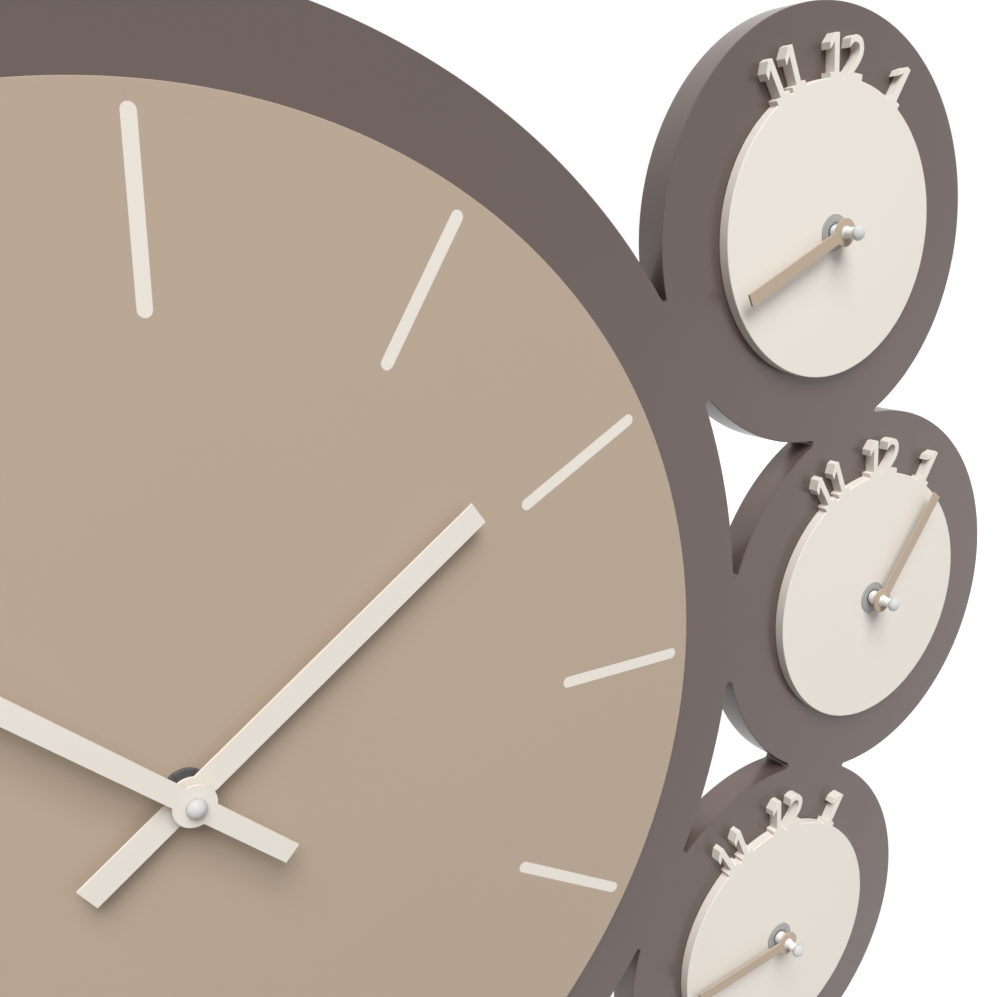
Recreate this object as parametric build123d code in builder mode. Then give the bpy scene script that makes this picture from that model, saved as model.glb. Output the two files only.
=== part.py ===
from build123d import *
import os
from math import cos, radians, sin

os.makedirs("parts", exist_ok=True)

# A wall clock for four time zones. A large dial and three small dials stand on one
# board, and each dial has its own battery movement behind it.
#
# The front faces minus Y and Z is up. Depths are counted forwards from the back of
# the hanger plates, and the origin is the entry hole of the hanger above the main dial.

# Board and dials
MAIN_RADIUS = 230.0
SMALL_RADIUS = 85.0
SMALL_REACH = 313.0
SMALL_SPREAD_DEG = 31.0
BOARD_THICK = 13.3
TOOL_RADIUS = 1.0
EDGE_BREAK = 0.4
MAIN_DIAL_RADIUS = 199.8
MAIN_DIAL_THICK = 4.7
SMALL_DIAL_RADIUS = 57.4
SMALL_DIAL_THICK = 4.45
BAR_LENGTH = 54.5
BAR_WIDTH = 4.35
BAR_MIDDLE_RADIUS = 166.95
BAR_DEPTH = 1.6
HOURS = 12

# Hangers and wall pads
HANGER_DROP = 150.0
HANGER_SIDE_X = 212.0
HANGER_WIDTH = 30.0
HANGER_HEIGHT = 26.0
HANGER_THICK = 1.5
HANGER_CORNER = 4.0
KEYHOLE_RADIUS = 4.0
KEYHOLE_SLOT_WIDTH = 4.4
KEYHOLE_RISE = 8.0
HEAD_POCKET_RADIUS = 6.5
HEAD_POCKET_DEPTH = 7.0
SCREW_SPACING = 22.0
SCREW_RADIUS = 1.5
SCREW_LENGTH = 9.0
SCREW_HEAD_RADIUS = 2.9
SCREW_HEAD_HEIGHT = 1.2
WALL_GAP = 4.7
PAD_RADIUS = 9.0
PAD_MAIN_RADIUS = 200.0
PAD_MAIN_ANGLES_DEG = (115.0, 180.0, 245.0)
PAD_SMALL_OUT = 62.0

# Movements
CASE_SIZE = 56.0
CASE_DEPTH = 16.0
CASE_CORNER = 3.0
CASE_WALL = 1.5
COVER_THICK = 1.5
WINDOW_ROOM = 1.0
BUSH_RADIUS = 3.15
BUSH_HOLE_RADIUS = 3.3
BUSH_RISE = 0.4
NUT_RADIUS = 7.2
NUT_THICK = 1.0
NUT_EDGE = 0.25
RUNNING_GAP = 0.05
BODY_GAP = 0.3

# Battery bay
CELL_RADIUS = 7.1
CELL_LENGTH = 49.5
CELL_NUB_RADIUS = 2.7
CELL_NUB = 1.0
CELL_DROP = 19.0
BAY_HEIGHT = 14.9
BAY_WALL = 1.2
CONTACT_THICK = 0.4
CONTACT_WIDTH = 9.0
CONTACT_HEIGHT = 11.0
CONTACT_SPRING_RADIUS = 3.0
CONTACT_SPRING_TAPER_DEG = 15.0

# Shafts, tubes and hands
TUBE_RADIUS = 2.5
SHAFT_RADIUS = 2.1
STEM_RADIUS = 1.5
PIVOT_RADIUS = 0.9
HAND_THICK = 0.9
MAIN_HOUR_FRONT = 6.0
MAIN_MINUTE_FRONT = 11.0
SMALL_HAND_FRONT = 5.6
TUBE_PROUD = 0.3
HOUR_TIP = 123.5
HOUR_WIDTH = 9.15
MINUTE_TIP = 176.0
MINUTE_WIDTH = 6.5
MAIN_TAIL = 38.4
MAIN_HUB_RADIUS = 7.0
SMALL_TIP = 55.2
SMALL_WIDTH = 5.0
SMALL_HUB_RADIUS = 5.5
HOUR_POINTS_DEG = 54.0
MINUTE_POINTS_DEG = 311.9
UPPER_POINTS_DEG = 243.5
MIDDLE_POINTS_DEG = 35.5
LOWER_POINTS_DEG = 263.7
CAP_RADIUS = 3.25
CAP_RIM = 1.6
CAP_HEIGHT = 3.5
CAP_SEAT = 1.6
SMALL_CAP_BASE = 10.2

# Setting knobs
KNOB_RADIUS = 6.5
KNOB_THICK = 2.2
KNOB_GRIPS = 18
KNOB_GRIP_DEPTH = 0.45

# Wheel train of the main movement
CANNON_TEETH = 12
MINUTE_WHEEL_TEETH = 36
MINUTE_MODULE = 0.5
HOUR_PINION_TEETH = 10
HOUR_WHEEL_TEETH = 40
HOUR_MODULE = 0.48
CENTRE_TEETH = 48
MOTOR_TEETH = 8
MOTOR_MODULE = 0.36
ADDENDUM = 0.75
DEDENDUM = 1.05
TOOTH_TIP_SHARE = 0.11
TOOTH_ROOT_SHARE = 0.27
MINUTE_WHEEL_AT_DEG = 60.0
MOTOR_AT_DEG = 150.0
SPOKES = 4
SPOKE_HOLE_RADIUS = 1.9
SPOKE_HOLE_AT = 5.3

# Layers of the main movement, counted back from the inside of the case front
HOUR_WHEEL_BACK = 1.3
HOUR_WHEEL_THICK = 1.0
MINUTE_WHEEL_BACK = 2.7
MINUTE_WHEEL_THICK = 0.9
CENTRE_WHEEL_BACK = 4.6
CENTRE_WHEEL_THICK = 0.8
PINION_EXTRA = 0.2
BEARING_RADIUS = 3.0
BEARING_LENGTH = 4.0

# Motor, coil and circuit board
MOTOR_WIDTH = 16.0
MOTOR_HEIGHT = 15.0
MOTOR_DEPTH = 7.2
MOTOR_CORNER = 1.5
MOTOR_SHIFT = 4.0
COIL_LENGTH = 20.0
COIL_RADIUS = 3.2
COIL_FLANGE = 7.0
COIL_FLANGE_THICK = 1.2
COIL_X = -14.0
COIL_RISE = 21.5
CIRCUIT_WIDTH = 9.0
CIRCUIT_HEIGHT = 32.0
CIRCUIT_THICK = 1.0
CIRCUIT_X = 21.5
CIRCUIT_RISE = 7.0
CHIP_SIZE = 5.0
CHIP_THICK = 1.2

# Depths that follow from the sizes above
BOARD_BACK = HANGER_THICK
BOARD_FRONT = BOARD_BACK + BOARD_THICK
DIAL_FRONT = BOARD_FRONT + MAIN_DIAL_THICK
SMALL_DIAL_FRONT = BOARD_FRONT + SMALL_DIAL_THICK
CASE_BACK = BOARD_FRONT - CASE_DEPTH
CASE_INSIDE = BOARD_FRONT - CASE_WALL
COVER_INSIDE = CASE_BACK + COVER_THICK
BUSH_LENGTH = MAIN_DIAL_THICK + BUSH_RISE
CELL_DEPTH = CASE_INSIDE - CELL_RADIUS - RUNNING_GAP
BAY_LENGTH = CASE_SIZE - 2 * CASE_WALL
TUBE_BORE = SHAFT_RADIUS + RUNNING_GAP
KNOB_FRONT = CASE_BACK - BODY_GAP

# Places on the board
MAIN_AT = (0.0, -HANGER_DROP)
SMALL_NAMES = ("upper", "middle", "lower")
SMALL_ANGLES_DEG = (SMALL_SPREAD_DEG, 0.0, -SMALL_SPREAD_DEG)
SMALL_POINTS_DEG = (UPPER_POINTS_DEG, MIDDLE_POINTS_DEG, LOWER_POINTS_DEG)
MINUTE_CENTRES = MINUTE_MODULE * (CANNON_TEETH + MINUTE_WHEEL_TEETH) / 2
MOTOR_CENTRES = MOTOR_MODULE * (CENTRE_TEETH + MOTOR_TEETH) / 2


def around(spot, radius, degrees):
    """Give the place at a radius and an angle round another place."""
    return (spot[0] + radius * cos(radians(degrees)), spot[1] + radius * sin(radians(degrees)))


def below(spot, drop):
    """Give the place straight below another place."""
    return (spot[0], spot[1] - drop)


SMALL_AT = [around(MAIN_AT, SMALL_REACH, angle) for angle in SMALL_ANGLES_DEG]
CLOCK_AT = [MAIN_AT] + SMALL_AT
HANGER_AT = [(0.0, 0.0), (HANGER_SIDE_X, 0.0)]
MINUTE_WHEEL_AT = around(MAIN_AT, MINUTE_CENTRES, MINUTE_WHEEL_AT_DEG)
MOTOR_PINION_AT = around(MAIN_AT, MOTOR_CENTRES, MOTOR_AT_DEG)


def facing(depth, spot):
    """Give the plane at a depth that faces the viewer, centred on a place."""
    return Plane(origin=(spot[0], -depth, spot[1]), x_dir=(1, 0, 0), z_dir=(0, -1, 0))


def pointing(depth, spot, clock_deg):
    """Give a facing plane whose X runs along a hand at a clock angle."""
    along = (sin(radians(clock_deg)), 0, cos(radians(clock_deg)))
    return Plane(origin=(spot[0], -depth, spot[1]), x_dir=along, z_dir=(0, -1, 0))


def disc(depth, spot, radius, length, mode=Mode.ADD):
    """Add or cut a round post that runs forwards from a depth."""
    with BuildSketch(facing(depth, spot)) as outline:
        Circle(radius)
    extrude(outline.sketch, amount=length, mode=mode)


def slab(depth, spot, width, height, corner, length, mode=Mode.ADD):
    """Add or cut a block with round corners that runs forwards from a depth."""
    with BuildSketch(facing(depth, spot)) as outline:
        RectangleRounded(width, height, corner)
    extrude(outline.sketch, amount=length, mode=mode)


def wheel(depth, spot, teeth, module, tooth_deg, length):
    """Add a toothed wheel with one tooth pointing at tooth_deg."""
    pitch_radius = module * teeth / 2
    root = pitch_radius - DEDENDUM * module
    tip = pitch_radius + ADDENDUM * module
    corners = []
    for tooth in range(teeth):
        for radius, share in (
            (root, -TOOTH_ROOT_SHARE),
            (tip, -TOOTH_TIP_SHARE),
            (tip, TOOTH_TIP_SHARE),
            (root, TOOTH_ROOT_SHARE),
        ):
            corners.append(around((0, 0), radius, tooth_deg + (tooth + share) * 360 / teeth))
    with BuildSketch(facing(depth, spot)) as outline:
        with BuildLine():
            Polyline(*corners, close=True)
        make_face()
    extrude(outline.sketch, amount=length)


def save(builder, name):
    """Label a finished piece and write its file."""
    builder.part.label = name
    export_step(builder.part, f"parts/{name}.step")


# The board: four discs in one outline, with a window behind each dial for its movement
with BuildPart() as back_plate:
    with BuildSketch(facing(BOARD_BACK, MAIN_AT)) as board_outline:
        Circle(MAIN_RADIUS)
        with PolarLocations(
            SMALL_REACH, len(SMALL_AT), -SMALL_SPREAD_DEG, 2 * SMALL_SPREAD_DEG, endpoint=True
        ):
            Circle(SMALL_RADIUS)
        fillet(board_outline.vertices(), TOOL_RADIUS)
    extrude(amount=BOARD_THICK)
    chamfer(back_plate.edges().group_by(Axis.Y)[0], EDGE_BREAK)
    for clock in CLOCK_AT:
        window = CASE_SIZE + 2 * WINDOW_ROOM
        slab(BOARD_BACK, clock, window, window, CASE_CORNER, BOARD_THICK, Mode.SUBTRACT)
    for hanger in HANGER_AT:
        with BuildSketch(facing(BOARD_BACK, (hanger[0], hanger[1] + KEYHOLE_RISE / 2))):
            SlotCenterToCenter(KEYHOLE_RISE, 2 * HEAD_POCKET_RADIUS, rotation=90)
        extrude(amount=HEAD_POCKET_DEPTH, mode=Mode.SUBTRACT)
        with BuildSketch(facing(BOARD_BACK, hanger)):
            with GridLocations(SCREW_SPACING, 0, 2, 1):
                Circle(SCREW_RADIUS)
        extrude(amount=SCREW_LENGTH - HANGER_THICK, mode=Mode.SUBTRACT)
save(back_plate, "back_plate")

# The main dial, with a shallow slot for each hour bar
with BuildPart() as main_dial:
    with BuildSketch(facing(BOARD_FRONT, MAIN_AT)):
        Circle(MAIN_DIAL_RADIUS)
        Circle(BUSH_HOLE_RADIUS, mode=Mode.SUBTRACT)
    extrude(amount=MAIN_DIAL_THICK)
    chamfer(main_dial.edges().group_by(Axis.Y)[0].sort_by(SortBy.RADIUS)[-1], EDGE_BREAK)
    with BuildSketch(facing(DIAL_FRONT, MAIN_AT)):
        with PolarLocations(BAR_MIDDLE_RADIUS, HOURS):
            SlotOverall(BAR_LENGTH, BAR_WIDTH)
    extrude(amount=-BAR_DEPTH, mode=Mode.SUBTRACT)
save(main_dial, "main_dial")

with BuildPart() as hour_bars:
    with BuildSketch(facing(DIAL_FRONT - BAR_DEPTH, MAIN_AT)):
        with PolarLocations(BAR_MIDDLE_RADIUS, HOURS):
            SlotOverall(BAR_LENGTH, BAR_WIDTH)
    extrude(amount=BAR_DEPTH)
save(hour_bars, "hour_bars")

# Hangers: steel plates with a keyhole over a pocket for the screw head
with BuildPart() as hanger_plates:
    for hanger in HANGER_AT:
        with BuildSketch(facing(0, hanger)):
            with Locations((0, KEYHOLE_RISE / 2)):
                RectangleRounded(HANGER_WIDTH, HANGER_HEIGHT, HANGER_CORNER)
            Circle(KEYHOLE_RADIUS, mode=Mode.SUBTRACT)
            with Locations((0, KEYHOLE_RISE / 2)):
                SlotCenterToCenter(KEYHOLE_RISE, KEYHOLE_SLOT_WIDTH, rotation=90, mode=Mode.SUBTRACT)
            with GridLocations(SCREW_SPACING, 0, 2, 1):
                Circle(SCREW_RADIUS, mode=Mode.SUBTRACT)
        extrude(amount=HANGER_THICK)
save(hanger_plates, "hanger_plates")

with BuildPart() as hanger_screws:
    for hanger in HANGER_AT:
        with BuildSketch(facing(0, hanger)):
            with GridLocations(SCREW_SPACING, 0, 2, 1):
                Circle(SCREW_RADIUS)
        extrude(amount=SCREW_LENGTH)
        with BuildSketch(facing(-SCREW_HEAD_HEIGHT, hanger)):
            with GridLocations(SCREW_SPACING, 0, 2, 1):
                Circle(SCREW_HEAD_RADIUS)
        extrude(amount=SCREW_HEAD_HEIGHT)
save(hanger_screws, "hanger_screws")

# Soft pads hold the board and the knobs clear of the wall
with BuildPart() as wall_pads:
    pad_at = [around(MAIN_AT, PAD_MAIN_RADIUS, angle) for angle in PAD_MAIN_ANGLES_DEG]
    for angle in (SMALL_SPREAD_DEG, -SMALL_SPREAD_DEG):
        pad_at.append(around(MAIN_AT, SMALL_REACH + PAD_SMALL_OUT, angle))
    for pad in pad_at:
        disc(-WALL_GAP, pad, PAD_RADIUS, WALL_GAP + HANGER_THICK)
save(wall_pads, "wall_pads")

# A flat ring nut clamps each movement to its dial
with BuildPart() as fixing_nuts:
    for clock, front in zip(CLOCK_AT, [DIAL_FRONT] + [SMALL_DIAL_FRONT] * len(SMALL_AT)):
        with BuildSketch(facing(front, clock)):
            Circle(NUT_RADIUS)
            Circle(BUSH_HOLE_RADIUS, mode=Mode.SUBTRACT)
        extrude(amount=NUT_THICK)
        rim = fixing_nuts.faces(Select.LAST).sort_by(Axis.Y)[0].edges().sort_by(SortBy.RADIUS)[-1]
        chamfer(rim, NUT_EDGE)
save(fixing_nuts, "fixing_nuts")

# A flat contact for the cell's button and a sprung one for its base, in each movement
with BuildPart() as battery_contacts:
    for clock in CLOCK_AT:
        bay = below(clock, CELL_DROP)
        for side in (-1, 1):
            outside = (bay[0] + side * BAY_LENGTH / 2, -CELL_DEPTH, bay[1])
            with BuildSketch(Plane(origin=outside, x_dir=(0, 1, 0), z_dir=(-side, 0, 0))):
                Rectangle(CONTACT_WIDTH, CONTACT_HEIGHT)
            extrude(amount=CONTACT_THICK)
        spring_at = (bay[0] - BAY_LENGTH / 2 + CONTACT_THICK, -CELL_DEPTH, bay[1])
        with BuildSketch(Plane(origin=spring_at, z_dir=(1, 0, 0))):
            Circle(CONTACT_SPRING_RADIUS)
        extrude(amount=BAY_LENGTH - 2 * CONTACT_THICK - CELL_LENGTH - CELL_NUB, taper=CONTACT_SPRING_TAPER_DEG)
save(battery_contacts, "battery_contacts")


def make_battery(name, clock):
    """Make the cell that lies in a movement's bay."""
    bay = below(clock, CELL_DROP)
    button_end = bay[0] + BAY_LENGTH / 2 - CONTACT_THICK
    with BuildPart() as battery:
        with BuildSketch(Plane(origin=(button_end - CELL_NUB, -CELL_DEPTH, bay[1]), z_dir=(-1, 0, 0))):
            Circle(CELL_RADIUS)
        extrude(amount=CELL_LENGTH)
        with BuildSketch(Plane(origin=(button_end, -CELL_DEPTH, bay[1]), z_dir=(-1, 0, 0))):
            Circle(CELL_NUB_RADIUS)
        extrude(amount=CELL_NUB)
    save(battery, name)


def make_hand(name, clock, front, clock_deg, tip, tail, width, hub, bore):
    """Make a flat strip hand with a round hub."""
    with BuildPart() as hand:
        with BuildSketch(pointing(DIAL_FRONT + front - HAND_THICK, clock, clock_deg)):
            with Locations(((tip - tail) / 2, 0)):
                Rectangle(tip + tail, width)
            Circle(hub)
            Circle(bore, mode=Mode.SUBTRACT)
        extrude(amount=HAND_THICK)
    save(hand, name)


def make_cap(name, clock, base):
    """Make the domed cap that closes the end of a minute shaft."""
    seat = DIAL_FRONT + base
    axis_plane = Plane(origin=(clock[0], 0, clock[1]), x_dir=(1, 0, 0), z_dir=(0, 0, 1))
    with BuildPart() as cap:
        with BuildSketch(axis_plane):
            with BuildLine():
                top = (0, -seat - CAP_HEIGHT)
                shoulder = (CAP_RADIUS, -seat - CAP_RIM)
                Polyline(
                    top,
                    (0, -seat - CAP_SEAT),
                    (SHAFT_RADIUS, -seat - CAP_SEAT),
                    (SHAFT_RADIUS, -seat),
                    (CAP_RADIUS, -seat),
                    shoulder,
                )
                TangentArc(top, shoulder, tangent=(1, 0))
            make_face()
        revolve(axis=Axis((clock[0], 0, clock[1]), (0, 1, 0)))
    save(cap, name)


def make_knob(name, spot, stem_end):
    """Make a setting knob with a grooved rim and the stem that it turns."""
    with BuildPart() as knob:
        with BuildSketch(facing(KNOB_FRONT - KNOB_THICK, spot)):
            Circle(KNOB_RADIUS)
            with PolarLocations(KNOB_RADIUS, KNOB_GRIPS):
                RegularPolygon(KNOB_GRIP_DEPTH, 4, mode=Mode.SUBTRACT)
        extrude(amount=KNOB_THICK)
        disc(KNOB_FRONT, spot, STEM_RADIUS, stem_end - KNOB_FRONT)
    save(knob, name)


# The main movement: a tray with the threaded bush in front and the battery bay below
with BuildPart() as main_case:
    slab(COVER_INSIDE, MAIN_AT, CASE_SIZE, CASE_SIZE, CASE_CORNER, BOARD_FRONT - COVER_INSIDE)
    offset(amount=-CASE_WALL, openings=main_case.faces().sort_by(Axis.Y)[-1])
    bay_top = below(MAIN_AT, CELL_DROP - BAY_HEIGHT / 2 - BAY_WALL / 2)
    with BuildSketch(facing(COVER_INSIDE, bay_top)):
        Rectangle(BAY_LENGTH, BAY_WALL)
    extrude(amount=CASE_INSIDE - COVER_INSIDE)
    disc(BOARD_FRONT, MAIN_AT, BUSH_RADIUS, BUSH_LENGTH)
    disc(CASE_INSIDE, MAIN_AT, TUBE_RADIUS + RUNNING_GAP, CASE_WALL + BUSH_LENGTH, Mode.SUBTRACT)
    disc(CASE_INSIDE, MINUTE_WHEEL_AT, PIVOT_RADIUS + RUNNING_GAP, CASE_WALL / 2, Mode.SUBTRACT)
save(main_case, "main_case")

# Its back cover carries the rear bearing and leaves the cell open to reach
with BuildPart() as main_cover:
    slab(CASE_BACK, MAIN_AT, CASE_SIZE, CASE_SIZE, CASE_CORNER, COVER_THICK)
    slab(CASE_BACK, below(MAIN_AT, CELL_DROP), BAY_LENGTH, BAY_HEIGHT, CASE_WALL, COVER_THICK, Mode.SUBTRACT)
    disc(COVER_INSIDE, MAIN_AT, BEARING_RADIUS, BEARING_LENGTH)
    disc(COVER_INSIDE, MAIN_AT, STEM_RADIUS + RUNNING_GAP, BEARING_LENGTH, Mode.SUBTRACT)
    disc(CASE_BACK, MINUTE_WHEEL_AT, STEM_RADIUS + RUNNING_GAP, COVER_THICK, Mode.SUBTRACT)
save(main_cover, "main_cover")

# The hour wheel and the tube that carries the hour hand
HOUR_WHEEL_DEPTH = CASE_INSIDE - HOUR_WHEEL_BACK
with BuildPart() as main_hour_wheel:
    hour_tooth_deg = MINUTE_WHEEL_AT_DEG
    wheel(HOUR_WHEEL_DEPTH, MAIN_AT, HOUR_WHEEL_TEETH, HOUR_MODULE, hour_tooth_deg, HOUR_WHEEL_THICK)
    with BuildSketch(facing(HOUR_WHEEL_DEPTH, MAIN_AT)):
        with PolarLocations(SPOKE_HOLE_AT, SPOKES):
            Circle(SPOKE_HOLE_RADIUS)
    extrude(amount=HOUR_WHEEL_THICK, mode=Mode.SUBTRACT)
    tube_end = DIAL_FRONT + MAIN_HOUR_FRONT + TUBE_PROUD
    disc(HOUR_WHEEL_DEPTH, MAIN_AT, TUBE_RADIUS, tube_end - HOUR_WHEEL_DEPTH)
    disc(HOUR_WHEEL_DEPTH, MAIN_AT, TUBE_BORE, tube_end - HOUR_WHEEL_DEPTH, Mode.SUBTRACT)
save(main_hour_wheel, "main_hour_wheel")

# The minute arbor: centre wheel, cannon pinion and the shaft to the minute hand
MINUTE_WHEEL_DEPTH = CASE_INSIDE - MINUTE_WHEEL_BACK
CENTRE_WHEEL_DEPTH = CASE_INSIDE - CENTRE_WHEEL_BACK
with BuildPart() as main_arbor:
    arbor_back = COVER_INSIDE + BODY_GAP
    disc(arbor_back, MAIN_AT, STEM_RADIUS, CENTRE_WHEEL_DEPTH - arbor_back)
    wheel(CENTRE_WHEEL_DEPTH, MAIN_AT, CENTRE_TEETH, MOTOR_MODULE, MOTOR_AT_DEG, CENTRE_WHEEL_THICK)
    with BuildSketch(facing(CENTRE_WHEEL_DEPTH, MAIN_AT)):
        with PolarLocations(SPOKE_HOLE_AT, SPOKES):
            Circle(SPOKE_HOLE_RADIUS)
    extrude(amount=CENTRE_WHEEL_THICK, mode=Mode.SUBTRACT)
    cannon_back = CENTRE_WHEEL_DEPTH + CENTRE_WHEEL_THICK
    cannon_front = MINUTE_WHEEL_DEPTH + MINUTE_WHEEL_THICK + PINION_EXTRA
    wheel(
        cannon_back, MAIN_AT, CANNON_TEETH, MINUTE_MODULE, MINUTE_WHEEL_AT_DEG, cannon_front - cannon_back
    )
    shaft_end = DIAL_FRONT + MAIN_MINUTE_FRONT + CAP_SEAT
    disc(cannon_front, MAIN_AT, SHAFT_RADIUS, shaft_end - cannon_front)
save(main_arbor, "main_arbor")

# The minute wheel takes the drive from the cannon pinion to the hour wheel
with BuildPart() as main_minute_wheel:
    gap_deg = MINUTE_WHEEL_AT_DEG + 180
    wheel(
        MINUTE_WHEEL_DEPTH,
        MINUTE_WHEEL_AT,
        MINUTE_WHEEL_TEETH,
        MINUTE_MODULE,
        gap_deg + 180 / MINUTE_WHEEL_TEETH,
        MINUTE_WHEEL_THICK,
    )
    pinion_back = MINUTE_WHEEL_DEPTH + MINUTE_WHEEL_THICK
    pinion_front = HOUR_WHEEL_DEPTH + HOUR_WHEEL_THICK
    wheel(
        pinion_back,
        MINUTE_WHEEL_AT,
        HOUR_PINION_TEETH,
        HOUR_MODULE,
        gap_deg + 180 / HOUR_PINION_TEETH,
        pinion_front - pinion_back,
    )
    disc(pinion_front, MINUTE_WHEEL_AT, PIVOT_RADIUS, CASE_WALL / 2)
save(main_minute_wheel, "main_minute_wheel")
make_knob("main_setting_knob", MINUTE_WHEEL_AT, MINUTE_WHEEL_DEPTH)

# The motor unit stands on the cover, and its last pinion drives the centre wheel
with BuildPart() as main_motor:
    motor_at = (MOTOR_PINION_AT[0] - MOTOR_SHIFT, MOTOR_PINION_AT[1])
    slab(COVER_INSIDE, motor_at, MOTOR_WIDTH, MOTOR_HEIGHT, MOTOR_CORNER, MOTOR_DEPTH)
    disc(COVER_INSIDE, MOTOR_PINION_AT, PIVOT_RADIUS + RUNNING_GAP, MOTOR_DEPTH, Mode.SUBTRACT)
save(main_motor, "main_motor")

with BuildPart() as main_motor_pinion:
    pinion_length = CENTRE_WHEEL_THICK + 2 * PINION_EXTRA
    wheel(
        CENTRE_WHEEL_DEPTH - PINION_EXTRA,
        MOTOR_PINION_AT,
        MOTOR_TEETH,
        MOTOR_MODULE,
        MOTOR_AT_DEG + 180 + 180 / MOTOR_TEETH,
        pinion_length,
    )
    spindle_back = COVER_INSIDE + BODY_GAP
    disc(spindle_back, MOTOR_PINION_AT, PIVOT_RADIUS, CENTRE_WHEEL_DEPTH - spindle_back)
save(main_motor_pinion, "main_motor_pinion")

# The coil on its bobbin, and the circuit board with its chip
with BuildPart() as main_coil:
    coil_depth = CASE_INSIDE - COIL_FLANGE / 2
    coil_left = MAIN_AT[0] + COIL_X - COIL_LENGTH / 2
    for start, length in (
        (coil_left, COIL_FLANGE_THICK),
        (coil_left + COIL_LENGTH - COIL_FLANGE_THICK, COIL_FLANGE_THICK),
    ):
        with BuildSketch(Plane(origin=(start, -coil_depth, MAIN_AT[1] + COIL_RISE), z_dir=(1, 0, 0))):
            RectangleRounded(COIL_FLANGE, COIL_FLANGE, MOTOR_CORNER / 2)
        extrude(amount=length)
    with BuildSketch(Plane(origin=(coil_left, -coil_depth, MAIN_AT[1] + COIL_RISE), z_dir=(1, 0, 0))):
        Circle(COIL_RADIUS)
    extrude(amount=COIL_LENGTH)
save(main_coil, "main_coil")

with BuildPart() as main_circuit:
    circuit_at = (MAIN_AT[0] + CIRCUIT_X, MAIN_AT[1] + CIRCUIT_RISE)
    slab(CASE_INSIDE - CIRCUIT_THICK, circuit_at, CIRCUIT_WIDTH, CIRCUIT_HEIGHT, MOTOR_CORNER, CIRCUIT_THICK)
    slab(
        CASE_INSIDE - CIRCUIT_THICK - CHIP_THICK, circuit_at, CHIP_SIZE, CHIP_SIZE, CONTACT_THICK, CHIP_THICK
    )
save(main_circuit, "main_circuit")

make_battery("main_battery", MAIN_AT)
make_hand(
    "main_hour_hand",
    MAIN_AT,
    MAIN_HOUR_FRONT,
    HOUR_POINTS_DEG,
    HOUR_TIP,
    MAIN_TAIL,
    HOUR_WIDTH,
    MAIN_HUB_RADIUS,
    TUBE_RADIUS,
)
make_hand(
    "main_minute_hand",
    MAIN_AT,
    MAIN_MINUTE_FRONT,
    MINUTE_POINTS_DEG,
    MINUTE_TIP,
    MAIN_TAIL,
    MINUTE_WIDTH,
    MAIN_HUB_RADIUS,
    SHAFT_RADIUS,
)
make_cap("main_cap", MAIN_AT, MAIN_MINUTE_FRONT)

# The small clocks: a sealed movement, one hour hand and a plain capped minute shaft
TUBE_BACK = CASE_INSIDE - BEARING_LENGTH
SHAFT_BACK = TUBE_BACK - BEARING_LENGTH
for place, clock, points_deg in zip(SMALL_NAMES, SMALL_AT, SMALL_POINTS_DEG):
    with BuildPart() as small_dial:
        with BuildSketch(facing(BOARD_FRONT, clock)):
            Circle(SMALL_DIAL_RADIUS)
            Circle(BUSH_HOLE_RADIUS, mode=Mode.SUBTRACT)
        extrude(amount=SMALL_DIAL_THICK)
        chamfer(small_dial.edges().group_by(Axis.Y)[0].sort_by(SortBy.RADIUS)[-1], EDGE_BREAK)
    save(small_dial, f"{place}_dial")

    knob_at = around(clock, MINUTE_CENTRES, MINUTE_WHEEL_AT_DEG)
    with BuildPart() as movement:
        slab(CASE_BACK, clock, CASE_SIZE, CASE_SIZE, CASE_CORNER, CASE_DEPTH)
        slab(
            CASE_BACK,
            below(clock, CELL_DROP),
            BAY_LENGTH,
            BAY_HEIGHT,
            CASE_WALL,
            CASE_INSIDE - CASE_BACK,
            Mode.SUBTRACT,
        )
        disc(BOARD_FRONT, clock, BUSH_RADIUS, BUSH_LENGTH)
        bush_end = BOARD_FRONT + BUSH_LENGTH
        tube_room = TUBE_BACK - BODY_GAP
        shaft_room = SHAFT_BACK - BODY_GAP
        disc(tube_room, clock, TUBE_RADIUS + RUNNING_GAP, bush_end - tube_room, Mode.SUBTRACT)
        disc(shaft_room, clock, TUBE_BORE, tube_room - shaft_room, Mode.SUBTRACT)
        disc(CASE_BACK, knob_at, STEM_RADIUS + RUNNING_GAP, BEARING_LENGTH, Mode.SUBTRACT)
    save(movement, f"{place}_movement")

    with BuildPart() as tube:
        small_tube_end = DIAL_FRONT + SMALL_HAND_FRONT + TUBE_PROUD
        with BuildSketch(facing(TUBE_BACK, clock)):
            Circle(TUBE_RADIUS)
            Circle(TUBE_BORE, mode=Mode.SUBTRACT)
        extrude(amount=small_tube_end - TUBE_BACK)
    save(tube, f"{place}_tube")

    with BuildPart() as shaft:
        disc(SHAFT_BACK, clock, SHAFT_RADIUS, DIAL_FRONT + SMALL_CAP_BASE + CAP_SEAT - SHAFT_BACK)
    save(shaft, f"{place}_shaft")

    make_knob(f"{place}_knob", knob_at, CASE_BACK + BEARING_LENGTH - BODY_GAP)
    make_battery(f"{place}_battery", clock)
    make_hand(
        f"{place}_hand",
        clock,
        SMALL_HAND_FRONT,
        points_deg,
        SMALL_TIP,
        0,
        SMALL_WIDTH,
        SMALL_HUB_RADIUS,
        TUBE_RADIUS,
    )
    make_cap(f"{place}_cap", clock, SMALL_CAP_BASE)
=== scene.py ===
"""The four-zone wall clock, dressed for its picture.

A lacquered board carries one large dial and three small ones, with strip hands and bright hubs in
front and the battery movements, the hangers and the wall pads behind.
"""
import logging
from dataclasses import dataclass, replace
from enum import Enum
from math import acos, atan2, ceil, cos, degrees, radians, sin, sqrt
from typing import Union

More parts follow.
